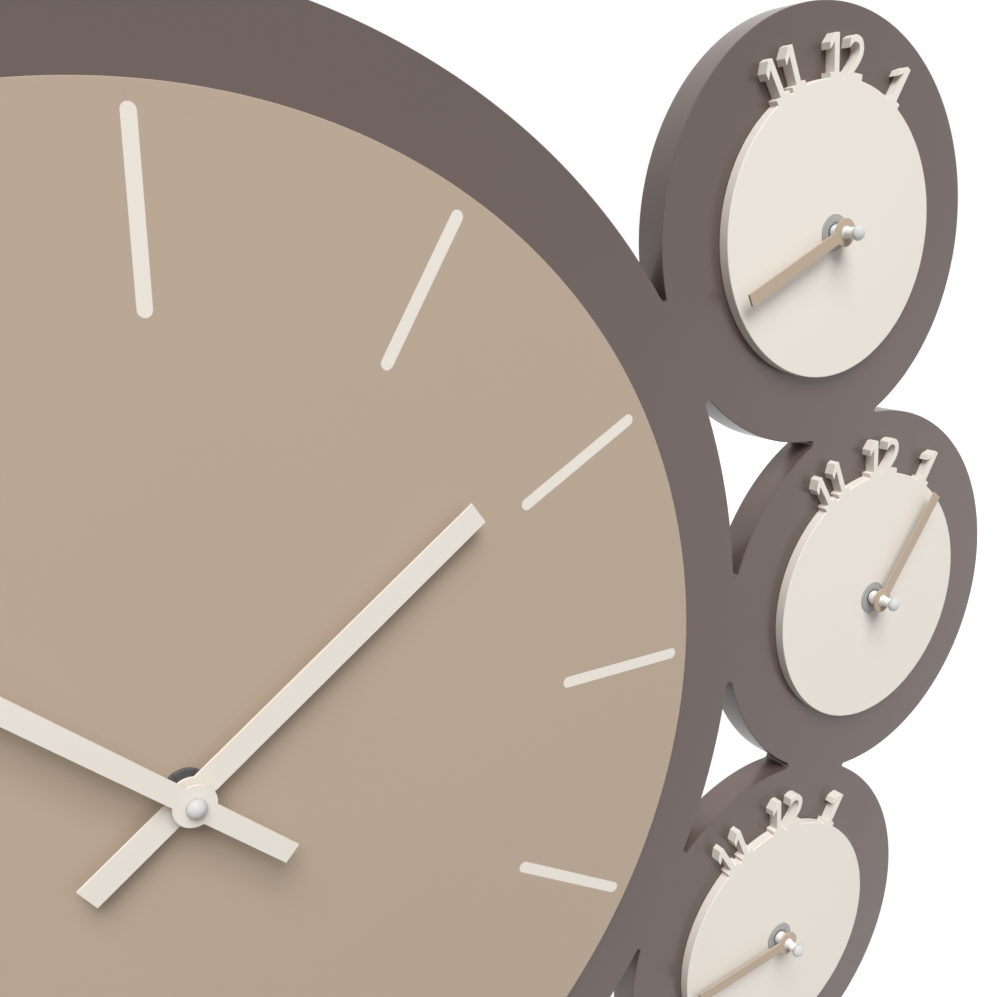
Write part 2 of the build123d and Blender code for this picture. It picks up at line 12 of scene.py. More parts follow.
import bpy
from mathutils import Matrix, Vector


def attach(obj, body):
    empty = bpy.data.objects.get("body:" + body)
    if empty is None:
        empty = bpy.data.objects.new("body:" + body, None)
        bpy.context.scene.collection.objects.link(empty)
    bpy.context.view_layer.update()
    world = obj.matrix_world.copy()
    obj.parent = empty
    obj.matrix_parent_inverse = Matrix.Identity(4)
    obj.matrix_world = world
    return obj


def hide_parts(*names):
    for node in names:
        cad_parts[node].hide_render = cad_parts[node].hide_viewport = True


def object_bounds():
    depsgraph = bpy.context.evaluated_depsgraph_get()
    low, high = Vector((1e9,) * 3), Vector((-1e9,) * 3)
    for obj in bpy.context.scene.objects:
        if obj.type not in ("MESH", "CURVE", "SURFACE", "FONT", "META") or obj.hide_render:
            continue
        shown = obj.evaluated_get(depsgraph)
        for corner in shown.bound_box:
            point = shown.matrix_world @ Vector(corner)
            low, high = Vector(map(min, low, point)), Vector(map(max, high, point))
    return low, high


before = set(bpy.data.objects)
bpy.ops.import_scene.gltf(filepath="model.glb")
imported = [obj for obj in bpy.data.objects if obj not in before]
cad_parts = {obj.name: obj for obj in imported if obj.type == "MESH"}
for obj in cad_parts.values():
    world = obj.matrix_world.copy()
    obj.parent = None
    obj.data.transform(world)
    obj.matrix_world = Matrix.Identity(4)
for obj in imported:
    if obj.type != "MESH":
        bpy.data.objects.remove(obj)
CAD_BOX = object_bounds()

logging.basicConfig(level=logging.INFO, format="%(message)s")
LOG = logging.getLogger("clock")

Pair = tuple[float, float]
Place = Pair
Point = tuple[float, float, float]
Colour = tuple[float, float, float]
Piece = bpy.types.Object

MM = 0.001
# Points nearer than this are merged, in metres.
WELD = 0.002 * MM
# Edges sharper than this stay sharp in the shading.
SMOOTH_DEG = 35.0
# How far a cutting tool reaches past what it cuts.
THROUGH = 5.0
# The sides of a bore for a shaft, of a screw hole and of a shallow dish.
BORE_SIDES, HOLE_SIDES, DISH_SIDES = 64, 48, 72
# The steps in a block's round corner.
CORNER_STEPS = 8


def polar(centre: Place, radius: float, angle_deg: float) -> Place:
    """Give the place at a radius and an angle, anticlockwise from the right."""
    angle = radians(angle_deg)
    return (centre[0] + radius * cos(angle), centre[1] + radius * sin(angle))


def heading(start: Place, end: Place) -> float:
    """Give the angle in degrees of the way from one place to another."""
    return degrees(atan2(end[1] - start[1], end[0] - start[0]))


# Places and depths on the clock, in millimetres, as in its solids.
MAIN_AT: Place = (0.0, -150.0)
REACH = 313.0
SPREAD_DEG = 31.0
SMALL_AT: dict[str, Place] = {
    "upper": polar(MAIN_AT, REACH, SPREAD_DEG),
    "middle": polar(MAIN_AT, REACH, 0.0),
    "lower": polar(MAIN_AT, REACH, -SPREAD_DEG),
}
WALL = -4.7
CASE_BACK = -1.2
BOARD_BACK = 1.5
BOARD_FRONT = 14.8
SMALL_FRONT = 19.25
MAIN_FRONT = 19.5
BUSH_END = 19.4
BUSH_HOLE = 3.3
HANGERS_AT = (0.0, 212.0)
HOURS = 12
HOUR_DEG = 360 / HOURS


class Blend(Enum):
    """How one solid is combined with another."""

    CUT = "DIFFERENCE"
    JOIN = "UNION"


@dataclass(frozen=True)
class Ring:
    """A circle that takes part in an outline."""

    centre: Place
    radius: float


class Bench:
    """Modelling moves in millimetres: x right, z up, depth out of the wall towards the viewer."""

    @staticmethod
    def spot(at: Place, depth: float) -> Vector:
        """Give a place and depth as a point in metres."""
        return Vector((at[0], -depth, at[1])) * MM

    @staticmethod
    def clear() -> None:
        """Leave edit mode and deselect everything."""
        if bpy.context.object and bpy.context.object.mode != "OBJECT":
            bpy.ops.object.mode_set(mode="OBJECT")
        bpy.ops.object.select_all(action="DESELECT")

    @staticmethod
    def take(piece: Piece) -> None:
        """Make one piece the only one selected, and the active one.

        Args:
            piece: the object.
        """
        Bench.clear()
        piece.select_set(True)
        bpy.context.view_layer.objects.active = piece

    @staticmethod
    def open(piece: Piece) -> None:
        """Open a piece for editing with all of it selected.

        Args:
            piece: the object.
        """
        Bench.take(piece)
        bpy.ops.object.mode_set(mode="EDIT")
        bpy.ops.mesh.select_mode(type="VERT")
        bpy.ops.mesh.select_all(action="SELECT")

    @staticmethod
    def fix() -> None:
        """Put the place, turn and size of what is selected into its mesh."""
        bpy.ops.object.transform_apply(location=True, rotation=True, scale=True)

    @staticmethod
    def named(name: str) -> Piece:
        """Name the active object, fix its place in its mesh and give it back.

        Args:
            name: the name for the object and its mesh.

        Returns:
            The active object.
        """
        piece = bpy.context.object
        piece.name = name
        piece.data.name = name
        Bench.fix()
        return piece

    @staticmethod
    def disc(
        name: str, at: Place, radius: float, back: float, front: float, sides: int = 96
    ) -> Piece:
        """Add a round plate or post that faces the viewer.

        Args:
            name: the object's name.
            at: the centre.
            radius: the radius.
            back: the depth of its back.
            front: the depth of its front.
            sides: the number of sides.

        Returns:
            The new object.
        """
        Bench.clear()
        bpy.ops.mesh.primitive_cylinder_add(
            vertices=sides,
            radius=radius * MM,
            depth=(front - back) * MM,
            location=Bench.spot(at, (front + back) / 2),
            rotation=(radians(90), 0, 0),
        )
        return Bench.named(name)

    @staticmethod
    def pen(name: str, at: Place, depth: float) -> Piece:
        """Set down one point, open for editing, from which an outline is drawn.

        Args:
            name: the object's name.
            at: the place of the point.
            depth: its depth.

        Returns:
            The new object.
        """
        Bench.clear()
        bpy.ops.mesh.primitive_plane_add(size=MM, location=Bench.spot(at, depth))
        piece = Bench.named(name)
        Bench.open(piece)
        bpy.ops.mesh.merge(type="CENTER")
        return piece

    @staticmethod
    def line(across: float, up: float, out: float = 0.0) -> None:
        """Draw a straight line on from the last point, or pull what is selected."""
        step = Bench.spot((across, up), out)
        bpy.ops.mesh.extrude_region_move(TRANSFORM_OT_translate={"value": step})

    @staticmethod
    def arc(centre: Place, depth: float, turn_deg: float, steps: int) -> None:
        """Draw an arc on from what is selected, anticlockwise for a positive turn."""
        middle = Bench.spot(centre, depth)
        bpy.ops.mesh.spin(steps=steps, angle=radians(turn_deg), center=middle, axis=(0, 1, 0))

    @staticmethod
    def weld() -> None:
        """Select all and merge doubled points, in edit mode."""
        bpy.ops.mesh.select_all(action="SELECT")
        bpy.ops.mesh.remove_doubles(threshold=WELD)

    @staticmethod
    def close() -> None:
        """Merge doubled points, turn all faces outwards and leave edit mode."""
        Bench.weld()
        bpy.ops.mesh.normals_make_consistent(inside=False)
        Bench.clear()

    @staticmethod
    def thicken(thick: float) -> None:
        """Fill the drawn outline, pull it forwards into a solid and leave edit mode.

        Args:
            thick: the thickness.
        """
        Bench.weld()
        bpy.ops.mesh.edge_face_add()
        Bench.line(0, 0, thick)
        Bench.close()

    @staticmethod
    def slab(
        name: str, at: Place, size: Pair, corner: float, back: float, front: float
    ) -> Piece:
        """Draw a block with round corners that faces the viewer.

        Args:
            name: the object's name.
            at: the centre.
            size: the width and the height.
            corner: the radius of the corners.
            back: the depth of its back.
            front: the depth of its front.

        Returns:
            The new object.
        """
        across = size[0] - 2 * corner
        up = size[1] - 2 * corner
        piece = Bench.pen(name, (at[0] + size[0] / 2, at[1] - up / 2), back)
        turn_at = (at[0] + across / 2, at[1] + up / 2)
        runs = ((0.0, up), (-across, 0.0), (0.0, -up), (across, 0.0))
        for run, onward in zip(runs, (*runs[1:], runs[0])):
            Bench.line(*run)
            Bench.arc(turn_at, back, 90, CORNER_STEPS)
            turn_at = (turn_at[0] + onward[0], turn_at[1] + onward[1])
        Bench.thicken(front - back)
        return piece

    @staticmethod
    def slot(
        name: str, at: Place, radius: float, rise: float, back: float, front: float, steps: int = 24
    ) -> Piece:
        """Draw an upright block with round ends.

        Args:
            name: the object's name.
            at: the centre of the lower end's round.
            radius: the radius of the ends.
            rise: how far the upper end's centre is above the lower one's.
            back: the depth of its back.
            front: the depth of its front.
            steps: the number of steps in each round end.

        Returns:
            The new object.
        """
        piece = Bench.pen(name, (at[0] + radius, at[1]), back)
        Bench.line(0, rise)
        Bench.arc((at[0], at[1] + rise), back, 180, steps)
        Bench.line(0, -rise)
        Bench.arc(at, back, 180, steps)
        Bench.thicken(front - back)
        return piece

    @staticmethod
    def turned(name: str, at: Place, profile: tuple[Pair, ...], steps: int = 72) -> Piece:
        """Turn a profile of (radius, depth) corners round an axis that runs out of the wall.

        Args:
            name: the object's name.
            at: the place of the axis.
            profile: the corners, in order.
            steps: the number of steps in the full turn.

        Returns:
            The new object.
        """
        radius, depth = profile[0]
        piece = Bench.pen(name, (at[0] + radius, at[1]), depth)
        for corner in profile[1:]:
            Bench.line(corner[0] - radius, 0, corner[1] - depth)
            radius, depth = corner
        bpy.ops.mesh.select_all(action="SELECT")
        Bench.arc(at, depth, 360, steps)
        Bench.close()
        return piece

    @staticmethod
    def modify(piece: Piece, kind: str, **settings: object) -> None:
        """Add a modifier to a piece and apply it.

        Args:
            piece: the object.
            kind: the modifier's type.
            settings: its settings.
        """
        Bench.take(piece)
        bpy.ops.object.modifier_add(type=kind)
        step = piece.modifiers[-1]
        for key, setting in settings.items():
            setattr(step, key, setting)
        bpy.ops.object.modifier_apply(modifier=step.name)

    @staticmethod
    def combine(piece: Piece, how: Blend, *tools: Piece) -> None:
        """Cut one solid with others or join them to it, and remove the others.

        Args:
            piece: the solid that stays.
            how: cut or join.
            tools: the others, in order.
        """
        for tool in tools:
            Bench.modify(piece, "BOOLEAN", operation=how.value, solver="EXACT", object=tool)
            bpy.data.objects.remove(tool)

    @staticmethod
    def copies(piece: Piece, count: int) -> list[Piece]:
        """Copy a piece together with its mesh.

        Args:
            piece: the first one.
            count: how many there are in all.

        Returns:
            The piece and its copies.
        """
        pieces = [piece]
        for _ in range(1, count):
            Bench.take(piece)
            bpy.ops.object.duplicate(linked=False)
            pieces.append(bpy.context.object)
        return pieces

    @staticmethod
    def move(piece: Piece, turn_deg: Point, spot: Vector) -> None:
        """Turn a piece about the origin, set it on a spot and fix that in its mesh.

        Args:
            piece: the object.
            turn_deg: the turns about the three axes.
            spot: where its origin goes, in metres.
        """
        Bench.take(piece)
        piece.rotation_euler = [radians(angle) for angle in turn_deg]
        piece.location = spot
        Bench.fix()

    @staticmethod
    def place(piece: Piece, at: Place, clock_deg: float) -> None:
        """Turn a piece made round the origin to a clock angle and set it on its centre."""
        Bench.move(piece, (0.0, clock_deg, 0.0), Bench.spot(at, 0))

    @staticmethod
    def lay(piece: Piece, at: Place, depth: float) -> None:
        """Lay a piece made along the depth on its side, with its front end to the right."""
        Bench.move(piece, (0.0, 0.0, 90.0), Bench.spot(at, depth))

    @staticmethod
    def gather(pieces: list[Piece], name: str) -> Piece:
        """Make several objects one.

        Args:
            pieces: the objects.
            name: the name of what they become.

        Returns:
            The one object.
        """
        Bench.take(pieces[0])
        for piece in pieces:
            piece.select_set(True)
        bpy.ops.object.join()
        return Bench.named(name)

    @staticmethod
    def soften(piece: Piece, width: float, steps: int = 2, angle_deg: float = SMOOTH_DEG) -> None:
        """Round a piece's edges and shade it smooth between them.

        Args:
            piece: the object.
            width: the width of the rounding.
            steps: its number of segments.
            angle_deg: the least angle of an edge that is rounded.
        """
        Bench.modify(
            piece,
            "BEVEL",
            width=width * MM,
            segments=steps,
            limit_method="ANGLE",
            angle_limit=radians(angle_deg),
            use_clamp_overlap=False,
        )
        Bench.smooth(piece)

    @staticmethod
    def smooth(piece: Piece) -> None:
        """Shade a piece smooth, with flat faces kept flat.

        Args:
            piece: the object.
        """
        Bench.take(piece)
        bpy.ops.object.shade_smooth_by_angle(angle=radians(SMOOTH_DEG))
        Bench.modify(piece, "WEIGHTED_NORMAL", keep_sharp=True)


class Value:
    """A shader socket that takes part in Python arithmetic."""

    def __init__(self, graph: "Graph", socket: bpy.types.NodeSocket | None) -> None:
        """Hold a socket and the graph that it belongs to."""
        self.graph = graph
        self.socket = socket

    def maths(self, operation: str, first: "Term", second: "Term" = 0.0) -> "Value":
        """Add one Math node and give its result."""
        return self.graph.add("ShaderNodeMath", {"operation": operation}, {0: first, 1: second})

    def __add__(self, other: "Term") -> "Value":
        """Give the sum."""
        return self.maths("ADD", self, other)

    __radd__ = __add__

    def __sub__(self, other: "Term") -> "Value":
        """Give the difference."""
        return self.maths("SUBTRACT", self, other)

    def __rsub__(self, other: "Term") -> "Value":
        """Give the difference from a number."""
        return self.maths("SUBTRACT", other, self)

    def __mul__(self, other: "Term") -> "Value":
        """Give the product."""
        return self.maths("MULTIPLY", self, other)

    __rmul__ = __mul__

    def above(self, level: float) -> "Value":
        """Give 1 where the value is above a level and 0 elsewhere."""
        return self.maths("GREATER_THAN", self, level)

    def size(self) -> "Value":
        """Give the value without its sign."""
        return self.maths("ABSOLUTE", self)

    def most(self, other: "Term") -> "Value":
        """Give the larger of the two."""
        return self.maths("MAXIMUM", self, other)

    def swing(self, width: float) -> "Value":
        """Give a value from 0 to 1 as one of a given width about zero."""
        return (self - 0.5) * width


Term = Union[Value, float]


def toned(colour: Colour, share: float) -> Colour:
    """Give a lighter or darker tone of a colour."""
    return tuple(min(channel * share, 1.0) for channel in colour)


class Graph:
    """The nodes of one material or world."""

    def __init__(self, owner: bpy.types.Material | bpy.types.World) -> None:
        """Clear the owner's nodes.

        Args:
            owner: the material or world.
        """
        owner.use_nodes = True
        self.owner = owner
        self.tree = owner.node_tree
        self.tree.nodes.clear()

    @classmethod
    def blank(cls, name: str) -> "Graph":
        """Start an empty material."""
        return cls(bpy.data.materials.new(name))

    def add(
        self,
        kind: str,
        settings: dict[str, object] | None = None,
        inputs: dict[object, object] | None = None,
        output: object = 0,
    ) -> Value:
        """Add a node.

        Args:
            kind: the node's type.
            settings: its own settings, set before its sockets.
            inputs: a value or a Value for each input, by name, number or identifier.
            output: the output that is given back, by name, number or identifier.

        Returns:
            The chosen output.
        """
        node = self.tree.nodes.new(kind)
        for key, setting in (settings or {}).items():
            setattr(node, key, setting)
        for key, entry in (inputs or {}).items():
            socket = self.find(node.inputs, key)
            if isinstance(entry, Value):
                self.tree.links.new(entry.socket, socket)
            else:
                socket.default_value = entry
        return Value(self, self.find(node.outputs, output) if len(node.outputs) else None)

    @staticmethod
    def find(sockets: bpy.types.bpy_prop_collection, key: object) -> bpy.types.NodeSocket:
        """Find a socket.

        Args:
            sockets: a node's inputs or outputs.
            key: the socket's number, identifier or name.

        Returns:
            The socket.
        """
        if isinstance(key, int):
            return sockets[key]
        for socket in sockets:
            if socket.identifier == key:
                return socket
        return sockets[key]

    def vector(self, operation: str, *entries: object, output: object = 0) -> Value:
        """Add one Vector Math node and give its result."""
        return self.add(
            "ShaderNodeVectorMath", {"operation": operation}, dict(enumerate(entries)), output
        )

    def coords(self) -> Value:
        """Give the Object coordinates."""
        return self.add("ShaderNodeTexCoord", output="Object")

    def shifted(self, at: Place, scale: Point = (1.0, 1.0, 1.0)) -> Value:
        """Give Object coordinates counted from a place on the clock and stretched."""
        moved = self.vector("SUBTRACT", self.coords(), tuple(Bench.spot(at, 0.0)))
        return self.vector("MULTIPLY", moved, scale)

    def axis(self, vector: Value, name: str) -> Value:
        """Give one of the numbers of a vector."""
        return self.add("ShaderNodeSeparateXYZ", None, {0: vector}, name)

    def noise(self, scale: float, detail: float = 2.0, vector: Value | None = None) -> Value:
        """Give a noise value from 0 to 1 whose grains are about 1 / scale metres wide."""
        inputs = {"Vector": vector or self.coords(), "Scale": scale, "Detail": detail}
        return self.add("ShaderNodeTexNoise", None, inputs)

    def blend(self, share: Term, first: object, second: object) -> Value:
        """Mix two colours.

        Args:
            share: the share of the second.
            first: a colour or a Value.
            second: a colour or a Value.

        Returns:
            The mixed colour.
        """
        ends = [(*end, 1.0) if isinstance(end, tuple) else end for end in (first, second)]
        return self.add(
            "ShaderNodeMix",
            {"data_type": "RGBA"},
            {"Factor_Float": share, "A_Color": ends[0], "B_Color": ends[1]},
            "Result_Color",
        )

    def tones(self, share: Term, colour: Colour, span: Pair) -> Value:
        """Give a colour that goes from a darker tone of itself to a lighter one."""
        return self.blend(share, toned(colour, span[0]), toned(colour, span[1]))

    def bump(self, height: Value, strength: float, distance: float) -> Value:
        """Give a normal that follows a height, with the relief's depth in millimetres."""
        inputs = {"Height": height, "Strength": strength, "Distance": distance * MM}
        return self.add("ShaderNodeBump", None, inputs)

    def surface(self, **sockets: object) -> bpy.types.Material:
        """Close the material with a Principled shader whose sockets are given by name.

        Args:
            sockets: values or Values, with underscores for the spaces in a socket's name.

        Returns:
            The material.
        """
        inputs = {key.replace("_", " "): entry for key, entry in sockets.items()}
        shader = self.add("ShaderNodeBsdfPrincipled", None, inputs)
        self.add("ShaderNodeOutputMaterial", None, {"Surface": shader})
        return self.owner


@dataclass(frozen=True)
class Lacquer:
    """Sprayed matt lacquer with a faint orange peel.

    Fields are the linear colour, the mean roughness, how strongly it reflects, the depth of the
    peel in millimetres, and the weight and roughness of the clear coat over it. The rest are the
    fineness of its clouds, specks and ripples, how much they change the tone and the gloss, how
    much the specks stand out, and the strength of the relief.
    """

    name: str
    colour: Colour
    roughness: float = 0.55
    gloss: float = 0.35
    peel: float = 0.012
    coat: float = 0.0
    coat_roughness: float = 0.22
    cloud: float = 7.0
    speck: float = 2600.0
    ripple: float = 420.0
    cloud_tones: Pair = (0.965, 1.03)
    speck_tone: float = 0.9
    speck_share: float = 0.18
    change: float = 0.10
    grit: float = 0.35
    strength: float = 0.35

    def material(self) -> bpy.types.Material:
        """Make the material.

        Returns:
            The material.
        """
        graph = Graph.blank(self.name)
        cloud = graph.noise(self.cloud, 3.0)
        speck = graph.noise(self.speck, 1.0)
        ripple = graph.noise(self.ripple)
        base = graph.tones(cloud, self.colour, self.cloud_tones)
        base = graph.blend(speck * self.speck_share, base, toned(self.colour, self.speck_tone))
        relief = ripple + speck * self.grit
        return graph.surface(
            Base_Color=base,
            Roughness=self.roughness + cloud.swing(self.change) + speck.swing(self.change),
            Normal=graph.bump(relief, self.strength, self.peel),
            Specular_IOR_Level=self.gloss,
            Coat_Weight=self.coat,
            Coat_Roughness=self.coat_roughness,
        )


class Brush(Enum):
    """The way that the lines on a metal run."""

    TURNED = "round the axis"
    RADIAL = "out from the axis"
    DRAWN = "along the width"


@dataclass(frozen=True)
class Steel:
    """Worked metal with fine tool lines.

    Fields are the linear colour, the axis that the lines refer to, how they run, the mean
    roughness, the depth of the lines in millimetres, how metallic it is, as satin plating scatters
    more light than bare metal, and how much the lines differ in tone. The rest are the fineness of
    each kind of line and of the smears, how much they change the gloss, how crisp the lines are and
    the strength of their relief.
    """

    name: str
    colour: Colour
    at: Place = (0.0, 0.0)
    brush: Brush = Brush.TURNED
    roughness: float = 0.24
    relief: float = 0.01
    metallic: float = 1.0
    contrast: float = 0.24
    drawn: Point = (90.0, 4000.0, 4000.0)
    radial: float = 40.0
    rings: float = 5200.0
    smear: float = 350.0
    line_change: float = 0.14
    smear_change: float = 0.10
    crispness: float = 2.5
    strength: float = 0.4

    def on(self, place: str, at: Place) -> "Steel":
        """Give the same metal with its lines round one clock's axis."""
        return replace(self, name=f"{place}_{self.name}", at=at)

    def lines(self, graph: Graph) -> Value:
        """Give the pattern of the tool lines.

        Args:
            graph: the material's nodes.

        Returns:
            A value from 0 to 1.
        """
        if self.brush is Brush.DRAWN:
            return graph.noise(1.0, 3.0, graph.shifted(self.at, self.drawn))
        across = graph.shifted(self.at, (1.0, 0.0, 1.0))
        if self.brush is Brush.RADIAL:
            return graph.noise(self.radial, 2.0, graph.vector("NORMALIZE", across))
        radius = graph.vector("LENGTH", across, output="Value")
        depth = graph.axis(graph.coords(), "Y")
        ring = graph.add("ShaderNodeCombineXYZ", None, {"X": radius, "Y": depth})
        return graph.noise(self.rings, 2.0, ring)

    def material(self) -> bpy.types.Material:
        """Make the material.

        Returns:
            The material.
        """
        graph = Graph.blank(self.name)
        lines = self.lines(graph)
        smear = graph.noise(self.smear)
        tone = lines.swing(self.crispness * self.contrast) + 0.5
        span = (1 - self.contrast / 2, 1 + self.contrast / 2)
        change = lines.swing(self.line_change) + smear.swing(self.smear_change)
        return graph.surface(
            Base_Color=graph.tones(tone, self.colour, span),
            Roughness=self.roughness + change,
            Normal=graph.bump(lines, self.strength, self.relief),
            Metallic=self.metallic,
        )


@dataclass(frozen=True)
class Moulded:
    """Moulded plastic with the fine grain of its tool.

    Fields are the linear colour, the mean roughness and the depth of the grain in millimetres, then
    the fineness of its clouds and grain, how much they change the tone and the gloss, and the
    strength of the relief.
    """

    name: str
    colour: Colour
    roughness: float = 0.42
    grain: float = 0.02
    cloud: float = 60.0
    spark: float = 3200.0
    tones: Pair = (0.85, 1.15)
    spark_change: float = 0.22
    cloud_change: float = 0.08
    strength: float = 0.5

    def material(self) -> bpy.types.Material:
        """Make the material.

        Returns:
            The material.
        """
        graph = Graph.blank(self.name)
        cloud = graph.noise(self.cloud, 3.0)
        spark = graph.noise(self.spark)
        change = spark.swing(self.spark_change) + cloud.swing(self.cloud_change)
        return graph.surface(
            Base_Color=graph.tones(cloud, self.colour, self.tones),
            Roughness=self.roughness + change,
            Normal=graph.bump(spark, self.strength, self.grain),
        )


@dataclass(frozen=True)
class Felt:
    """Pressed felt with short fibres that lie both ways.

    Fields are the linear colour, the mean roughness, the depth of the fibres in millimetres, how
    fine they are along and across, how much they differ in tone and gloss, the strength of the
    relief and the sheen.
    """

    name: str
    colour: Colour
    roughness: float = 0.9
    pile: float = 0.15
    along: float = 900.0
    across: float = 2500.0
    tones: Pair = (0.6, 1.4)
    change: float = 0.15
    strength: float = 0.8
    sheen: float = 0.3

    def material(self) -> bpy.types.Material:
        """Make the material.

        Returns:
            The material.
        """
        graph = Graph.blank(self.name)
        ways = (self.along, self.across, self.across), (self.across, self.across, self.along)
        first, second = (graph.noise(1.0, 4.0, graph.shifted((0.0, 0.0), way)) for way in ways)
        fibres = (first + second) * 0.5
        return graph.surface(
            Base_Color=graph.tones(fibres, self.colour, self.tones),
            Roughness=self.roughness + fibres.swing(self.change),
            Normal=graph.bump(fibres, self.strength, self.pile),
            Sheen_Weight=self.sheen,
        )


@dataclass(frozen=True)
class Sleeve:
    """A dry cell's plain sleeve, with a darker band at the button end and bare metal ends.

    Fields are the middle of the cell, the linear colours of the sleeve, the band and the metal,
    where the band and the metal begin from that middle, the fineness, weight, tone and depth of the
    scuffs, how metallic the paint is and the bare metal beyond it, the roughness, and the strength
    of the relief.
    """

    name: str
    at: Place
    colour: Colour = (0.42, 0.43, 0.44)
    band: Colour = (0.06, 0.065, 0.07)
    metal: Colour = (0.7, 0.69, 0.66)
    band_from: float = 12.0
    metal_from: float = 24.2
    scuff: float = 900.0
    scuff_way: Point = (0.15, 1.0, 1.0)
    scuff_share: float = 0.25
    scuff_tone: float = 0.7
    scuff_depth: float = 0.02
    shine: Pair = (0.05, 0.95)
    roughness: float = 0.3
    change: float = 0.18
    strength: float = 0.25

    def material(self) -> bpy.types.Material:
        """Make the material.

        Returns:
            The material.
        """
        graph = Graph.blank(self.name)
        along = graph.axis(graph.shifted(self.at), "X")
        bare = along.size().above(self.metal_from * MM)
        dark = along.above(self.band_from * MM)
        scuff = graph.noise(self.scuff, 3.0, graph.shifted((0.0, 0.0), self.scuff_way))
        paint = graph.blend(dark, self.colour, self.band)
        paint = graph.blend(scuff * self.scuff_share, paint, toned(self.colour, self.scuff_tone))
        return graph.surface(
            Base_Color=graph.blend(bare, paint, self.metal),
            Metallic=bare * self.shine[1] + self.shine[0],
            Roughness=self.roughness + scuff.swing(self.change),
            Normal=graph.bump(scuff, self.strength, self.scuff_depth),
        )


@dataclass(frozen=True)
class Winding:
    """Enamelled copper wire wound round a bobbin that lies across.

    Fields are the linear colour, the pitch and depth of the turns in millimetres, the length of one
    band of a Wave texture at a scale of 1, how much the turns waver, their tones, darker in the
    grooves between the turns as painted shade, their gloss, and the strength of their relief.
    """

    name: str
    colour: Colour
    pitch: float = 0.12
    depth: float = 0.05
    band: float = 0.314
    waver: float = 0.4
    tones: Pair = (0.45, 1.0)
    metallic: float = 0.8
    roughness: float = 0.32
    change: float = 0.1
    strength: float = 0.8

    def material(self) -> bpy.types.Material:
        """Make the material.

        Returns:
            The material.
        """
        graph = Graph.blank(self.name)
        scale = self.band / (self.pitch * MM)
        inputs = {"Vector": graph.coords(), "Scale": scale, "Distortion": self.waver}
        turns = graph.add("ShaderNodeTexWave", {"bands_direction": "X"}, inputs)
        return graph.surface(
            # The tones are painted shade: darker in the grooves between the turns, where the relief
            # is low.
            Base_Color=graph.tones(turns, self.colour, self.tones),
            Metallic=self.metallic,
            Roughness=self.roughness + turns * self.change,
            Normal=graph.bump(turns, self.strength, self.depth),
        )


@dataclass(frozen=True)
class Printed:
    """A green circuit board with copper tracks under its varnish.

    Fields are the linear colours of the board and the tracks, the tracks' fineness, share and depth
    in millimetres, the roughness with the fineness and weight of the haze on it, and the strength
    of the relief.
    """

    name: str
    colour: Colour = (0.02, 0.13, 0.05)
    track: Colour = (0.05, 0.22, 0.08)
    fineness: float = 420.0
    level: float = 0.55
    depth: float = 0.04
    roughness: float = 0.3
    haze: float = 800.0
    change: float = 0.15
    strength: float = 0.4

    def material(self) -> bpy.types.Material:
        """Make the material.

        Returns:
            The material.
        """
        graph = Graph.blank(self.name)
        cells = graph.add(
            "ShaderNodeTexVoronoi",
            {"distance": "MANHATTAN", "feature": "F1"},
            {"Vector": graph.coords(), "Scale": self.fineness},
        )
        tracks = cells.above(self.level)
        return graph.surface(
            Base_Color=graph.blend(tracks, self.colour, self.track),
            Roughness=self.roughness + graph.noise(self.haze) * self.change,
            Normal=graph.bump(tracks, self.strength, self.depth),
        )


Finish = Union[Lacquer, Steel, Moulded, Felt, Sleeve, Winding, Printed]

BROWN = Lacquer("brown_lacquer", (0.103, 0.0705, 0.0635), roughness=0.32, gloss=0.5, coat=0.35)
TAN = Lacquer("tan_lacquer", (0.475, 0.378, 0.290), roughness=0.62, gloss=0.25)
CREAM = Lacquer("cream_lacquer", (0.815, 0.765, 0.695), roughness=0.58, gloss=0.3)
HAND_CREAM = Lacquer("hand_cream", (0.800, 0.748, 0.675), roughness=0.52, gloss=0.3, peel=0.008)
HAND_TAN = Lacquer("hand_tan", (0.470, 0.375, 0.285), roughness=0.52, gloss=0.3, peel=0.008)
BLACK = Moulded("movement_black", (0.018, 0.018, 0.02))
GREY = Moulded("motor_grey", (0.22, 0.23, 0.24), roughness=0.5)
WHITE = Moulded("wheel_white", (0.72, 0.72, 0.70), roughness=0.38)
KNOB = Moulded("knob_white", (0.74, 0.74, 0.72), roughness=0.36)
ZINC = Steel(
    "zinc_plate", (0.50, 0.51, 0.53), brush=Brush.DRAWN, roughness=0.36, contrast=0.5
)
SCREW = Steel(
    "screw_zinc", (0.56, 0.54, 0.49), brush=Brush.DRAWN, roughness=0.30, contrast=0.4
)
# The main nut's dark colour is painted shade: it stands for the hour hand's shadow on a nut like
# the pale ones of the small clocks. Its radial lines are real tool lines.
SHADED_NUT = Steel(
    "nut_steel", (0.10, 0.10, 0.10), brush=Brush.RADIAL,
    roughness=0.62, relief=0.006, metallic=0.15, contrast=1.3,
)
PALE_NUT = replace(SHADED_NUT, colour=(0.41, 0.41, 0.40), contrast=0.1)
# The shafts' near-white colour is partly painted light: it is lifted above that of pale steel so
# that the sleeves, tubes and shafts stay white in the shade of the hands' hubs.
LIGHTENED_SHAFT = Steel(
    "shaft_steel", (0.92, 0.92, 0.93), roughness=0.45, relief=0.004, metallic=0.1
)
SATIN = Steel("cap_steel", (0.62, 0.62, 0.62), roughness=0.45, relief=0.003, metallic=0.2)
FELT = Felt("pad_felt", (0.035, 0.035, 0.037))
COPPER = Winding("coil_copper", (0.75, 0.30, 0.13))
GREEN = Printed("circuit_green")


